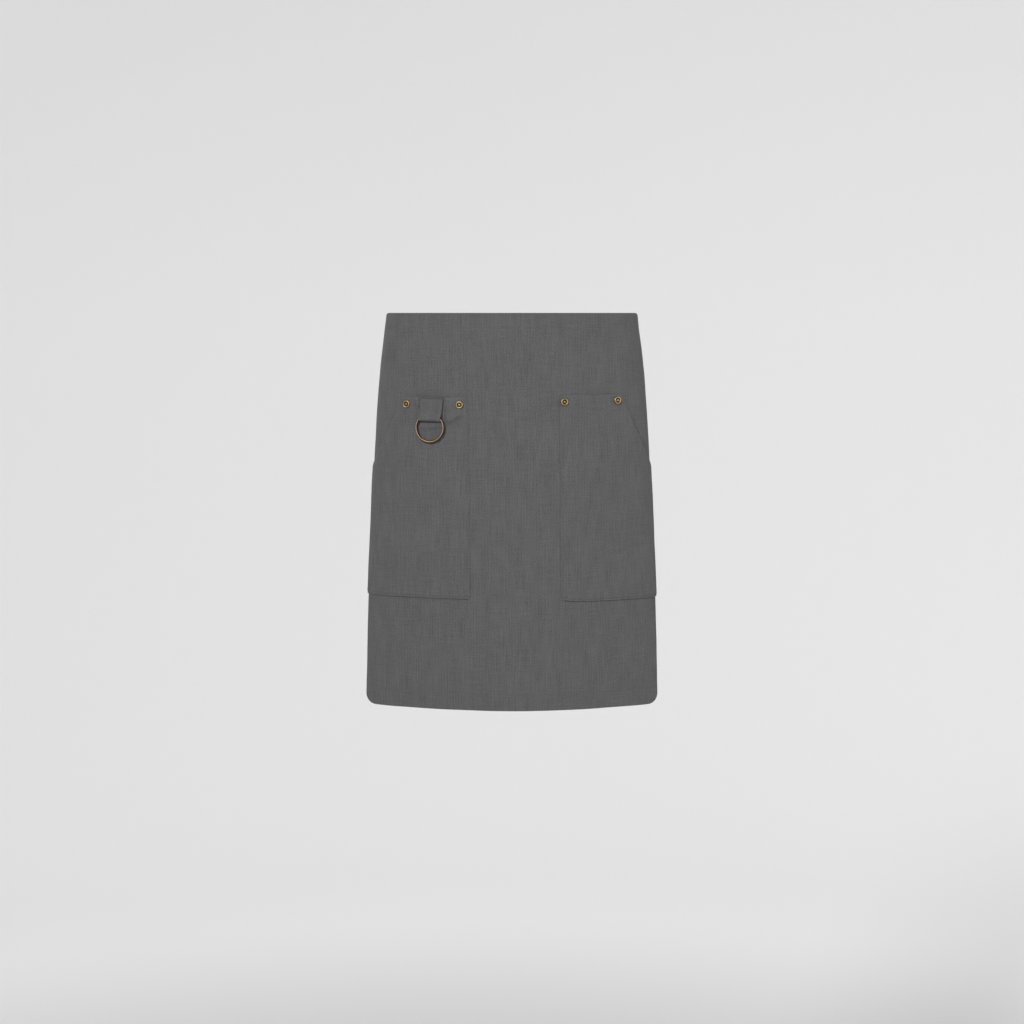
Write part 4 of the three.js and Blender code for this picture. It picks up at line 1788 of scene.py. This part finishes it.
@dataclass
class WaistTie:
    """The flat tie, from inside one top corner round the back to the other."""

    form: WornForm
    sewing: Sewing
    width: float = 30.0
    wall: float = 1.6
    drop: float = 4.0
    overlap: float = math.radians(24)
    back: float = 152.0
    columns: int = 260
    rows: int = 14
    edge_row: float = 2.0
    edge_press: float = 0.3
    dip: float = 2.5
    row_start: float = 0.004
    row_steps: int = 400
    end_rows: tuple[float, ...] = (0.006, 0.045)
    end_row_steps: int = 24
    turn_step: float = 0.002
    drop_step: float = 1.0
    measure_steps: int = 900
    flat_length: float = 550.0
    cut_at: float = 900.0

    def round(self, turn: Array, drop: Array, depth: float) -> Array:
        """Points round the tie.

        Args:
            turn: from 0 at the right end, 1 at the right side, 2 at the left side, 3 at the left end.
            drop: drops from the top edge.
            depth: how far inside the panel's outer face.

        Returns:
            Points.
        """
        from_side = self.overlap * np.clip(np.maximum(1 - turn, turn - 2), 0.0, 1.0)
        side = np.where(turn < 1.5, 1.0, -1.0)
        inside = self.form.off(side * np.cos(from_side), drop, -depth)
        angle = math.pi * np.clip(turn - 1, 0.0, 1.0)
        end = self.form.off(np.ones_like(turn), drop, -depth)
        behind = np.stack([
            end[:, 0] * np.cos(angle), end[:, 1] + (self.back - depth) * np.sin(angle), end[:, 2]
        ], axis=1)
        return np.where((from_side > 0)[:, None], inside, behind)

    def turns(self, share: Array) -> Array:
        """Turns round the tie.

        Args:
            share: shares of its length.

        Returns:
            Turns, as for the points round it.
        """
        turn = np.linspace(0.0, 3.0, self.measure_steps + 1)
        points = self.round(turn, np.full_like(turn, self.drop + self.width / 2), self.depth())
        run = run_along(points)
        return np.interp(share, run / run[-1], turn)

    def depth(self) -> float:
        """How far the tie's outer face lies inside the panel's."""
        return self.sewing.wall + self.sewing.gap

    def sag(self, turn: Array) -> Array:
        """How far the tie's middle dips behind the back."""
        return self.dip * np.sin(math.pi * np.clip(turn - 1, 0.0, 1.0)) ** 2

    def place(self, column: Array, row: Array) -> Spots:
        """Lay the flat tie round the waist.

        Args:
            column: shares along the tie, from its right end.
            row: shares down.

        Returns:
            The spots.
        """
        turn = self.turns(column)
        drop = self.drop + self.width * row
        run = column * self.flat_length
        groove = self.sewing.seam(np.minimum(row, 1 - row) * self.width - self.edge_row, run)
        points = self.round(turn, drop, self.depth())
        points[:, 2] -= self.sag(turn)
        flat = np.stack([self.cut_at - self.width * row, run], axis=1)
        return Spots(points, flat, 1.0 + self.edge_press * groove)

    def row_of(self, turn: Array, drop: Array, inner: bool) -> Seam:
        """A row of stitches on the tie.

        Args:
            turn: turns round the tie.
            drop: drops from the top edge.
            inner: whether it is on the inner face.

        Returns:
            The row.
        """
        depth = self.depth() + (self.wall if inner else 0.0)
        points = self.round(turn, drop, depth)
        ahead = self.round(turn + self.turn_step, drop, depth)
        ahead = ahead - self.round(turn - self.turn_step, drop, depth)
        up = self.round(turn, drop - self.drop_step, depth)
        up = up - self.round(turn, drop + self.drop_step, depth)
        points[:, 2] -= self.sag(turn)
        out = np.cross(ahead, up)
        out /= np.linalg.norm(out, axis=1, keepdims=True)
        return Seam(points, -out if inner else out)

    def build(self, finishes: Finishes, thread: Thread) -> None:
        """Build and dress the tie.

        Args:
            finishes: the materials.
            thread: the stitches.
        """
        mesh = make_sheet("waist_tie_cloth", self.columns, self.rows, self.place)
        piece = new_piece("waist_tie_cloth", mesh, finishes.twill)
        thicken(piece, self.wall)
        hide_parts("waist_tie")
        turn = self.turns(np.linspace(self.row_start, 1 - self.row_start, self.row_steps))
        edges = (self.drop + self.edge_row, self.drop + self.width - self.edge_row)
        rows = [
            self.row_of(turn, np.full_like(turn, drop), inner)
            for drop in edges
            for inner in (False, True)
        ]
        down = np.linspace(*edges, self.end_row_steps)
        ends = self.turns(np.array([share for row in self.end_rows for share in (row, 1 - row)]))
        rows += [self.row_of(np.full_like(down, end), down, inner=True) for end in ends]
        stitches = thread.sew("waist_tie_stitches", rows, finishes.thread)


@dataclass(frozen=True)
class Lamp:
    """A soft light: where it stands, what it faces, its size, its strength and how far it spreads."""

    name: str
    place_m: tuple[float, float, float]
    aim_m: tuple[float, float, float]
    size_m: float
    watts: float
    spread: float = math.pi

    def build(self) -> None:
        """Put the light up."""
        data = bpy.data.lights.new(self.name, "AREA")
        data.shape = "DISK"
        data.energy = self.watts
        data.size = self.size_m
        data.spread = self.spread
        lamp = bpy.data.objects.new(self.name, data)
        lamp.location = self.place_m
        aim = Vector(self.aim_m) - Vector(self.place_m)
        lamp.rotation_euler = aim.to_track_quat("-Z", "Y").to_euler()
        lamp.visible_camera = False
        bpy.context.scene.collection.objects.link(lamp)


@dataclass
class Studio:
    """A round sweep of pale paper, soft light from above, three lamps, and the camera."""

    lens: float = 64.48
    camera_back_m: float = 2.3937
    camera_tilt: float = math.radians(6.196)
    sensor: float = 36.0
    floor_m: float = -2.0
    room_m: float = 6.0
    sweep_radius_m: float = 2.0
    wall_top_m: float = 1.8
    sweep_steps: int = 24
    round_steps: int = 96
    sky: float = 0.57
    lamps: tuple[Lamp, ...] = (
        Lamp("key", (-1.72, -3.62, 1.75), (0.0, -0.1, -0.25), 0.7, 27.0, math.radians(70)),
        Lamp("right_fill", (2.5, -1.3, 0.4), (0.1, -0.1, -0.25), 1.2, 9.6, math.radians(90)),
        Lamp("back_fill", (0.25, 3.3, 1.2), (0.0, 0.0, -0.25), 1.2, 44.0, math.radians(90)),
    )

    def build(self) -> None:
        """Build the backdrop, the lights and the camera."""
        self.backdrop()
        self.lights()
        self.camera()

    def backdrop(self) -> None:
        """Sweep the paper from the floor up the wall, all the way round."""
        shape = bmesh.new()
        inner = self.room_m - self.sweep_radius_m
        line = [shape.verts.new((x, 0, self.floor_m)) for x in (0.0, inner)]
        shape.edges.new(line)
        centre = (inner, 0, self.floor_m + self.sweep_radius_m)
        made = bmesh.ops.spin(
            shape, geom=[line[-1]], cent=centre, axis=(0, -1, 0), angle=math.pi / 2,
            steps=self.sweep_steps, use_merge=False,
        )
        foot = next(part for part in made["geom_last"] if isinstance(part, bmesh.types.BMVert))
        head = shape.verts.new((self.room_m, 0, self.wall_top_m))
        shape.edges.new((foot, head))
        bmesh.ops.spin(
            shape, geom=shape.verts[:] + shape.edges[:], cent=(0, 0, 0), axis=(0, 0, 1),
            angle=2 * math.pi, steps=self.round_steps, use_merge=True,
        )
        bmesh.ops.remove_doubles(shape, verts=shape.verts[:], dist=MERGE)
        bmesh.ops.recalc_face_normals(shape, faces=shape.faces[:])
        mesh = to_mesh(shape, "backdrop")
        mesh.materials.append(Paper().make())
        mesh.shade_smooth()
        sweep = bpy.data.objects.new("backdrop", mesh)
        bpy.context.scene.collection.objects.link(sweep)

    def lights(self) -> None:
        """Light the room evenly from above, and put up the lamps."""
        world = bpy.data.worlds.new("studio")
        world.use_nodes = True
        sky = world.node_tree.nodes["Background"]
        sky.inputs["Color"].default_value = (1.0, 1.0, 1.0, 1.0)
        sky.inputs["Strength"].default_value = self.sky
        bpy.context.scene.world = world
        for lamp in self.lamps:
            lamp.build()

    def camera(self) -> None:
        """Set the camera level with the top edge, looking a little down."""
        data = bpy.data.cameras.new("camera")
        data.lens = self.lens
        data.sensor_width = self.sensor
        camera = bpy.data.objects.new("camera", data)
        camera.location = (0.0, -self.camera_back_m, 0.0)
        camera.rotation_euler = (math.pi / 2 - self.camera_tilt, 0.0, 0.0)
        bpy.context.scene.collection.objects.link(camera)
        bpy.context.scene.camera = camera
        bpy.context.scene.view_settings.view_transform = "Standard"


def main() -> None:
    """Build the apron piece by piece."""
    logging.basicConfig(level=logging.INFO, format="%(name)s %(message)s")
    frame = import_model()
    Studio().build()
    finishes = Finishes()
    thread = Thread()
    form = WornForm()
    sewing = Sewing()
    Panel(form, sewing).build(finishes, thread)
    creases = (
        Crease((79.0, 132.5), (74.0, 130.5), (67.5, 127.0), width=4.5, height=4.3),
        Crease((116.0, 141.5), (102.0, 141.0), (90.0, 139.5), width=3.8, height=2.6),
        Crease((120.5, 105.0), (119.5, 109.0), (118.5, 113.0), width=4.0, height=3.2),
        Crease((115.0, 106.8), (100.0, 106.4), (85.0, 106.0), width=1.0, height=-1.4),
    )
    left = Pocket(
        "pocket_left", side=-1, inner_top=55, inner_low=52, top=104.5, bottom=357.5,
        form=form, sewing=sewing, creases=creases,
    )
    right = Pocket(
        "pocket_right", side=1, inner_top=59, inner_low=62, top=101.8, bottom=361.5,
        form=form, sewing=sewing, corner_lift=2.2,
    )
    for pocket in (left, right):
        pocket.build(finishes, thread)
    rivets = (
        Rivet("rivet_left_outer", across=131.4, drop=113.7, pocket=left),
        Rivet("rivet_left_inner", across=65.0, drop=113.9, pocket=left),
        Rivet("rivet_right_inner", across=64.9, drop=110.3, pocket=right),
        Rivet("rivet_right_outer", across=131.3, drop=109.0, pocket=right),
    )
    for rivet in rivets:
        rivet.build(finishes)
    hanger = Hanger.from_frame(frame)
    DRing(hanger).build(finishes)
    RingLoop(hanger, sewing).build(finishes, thread)
    WaistTie(form, sewing).build(finishes, thread)


if __name__ == "__main__":
    main()
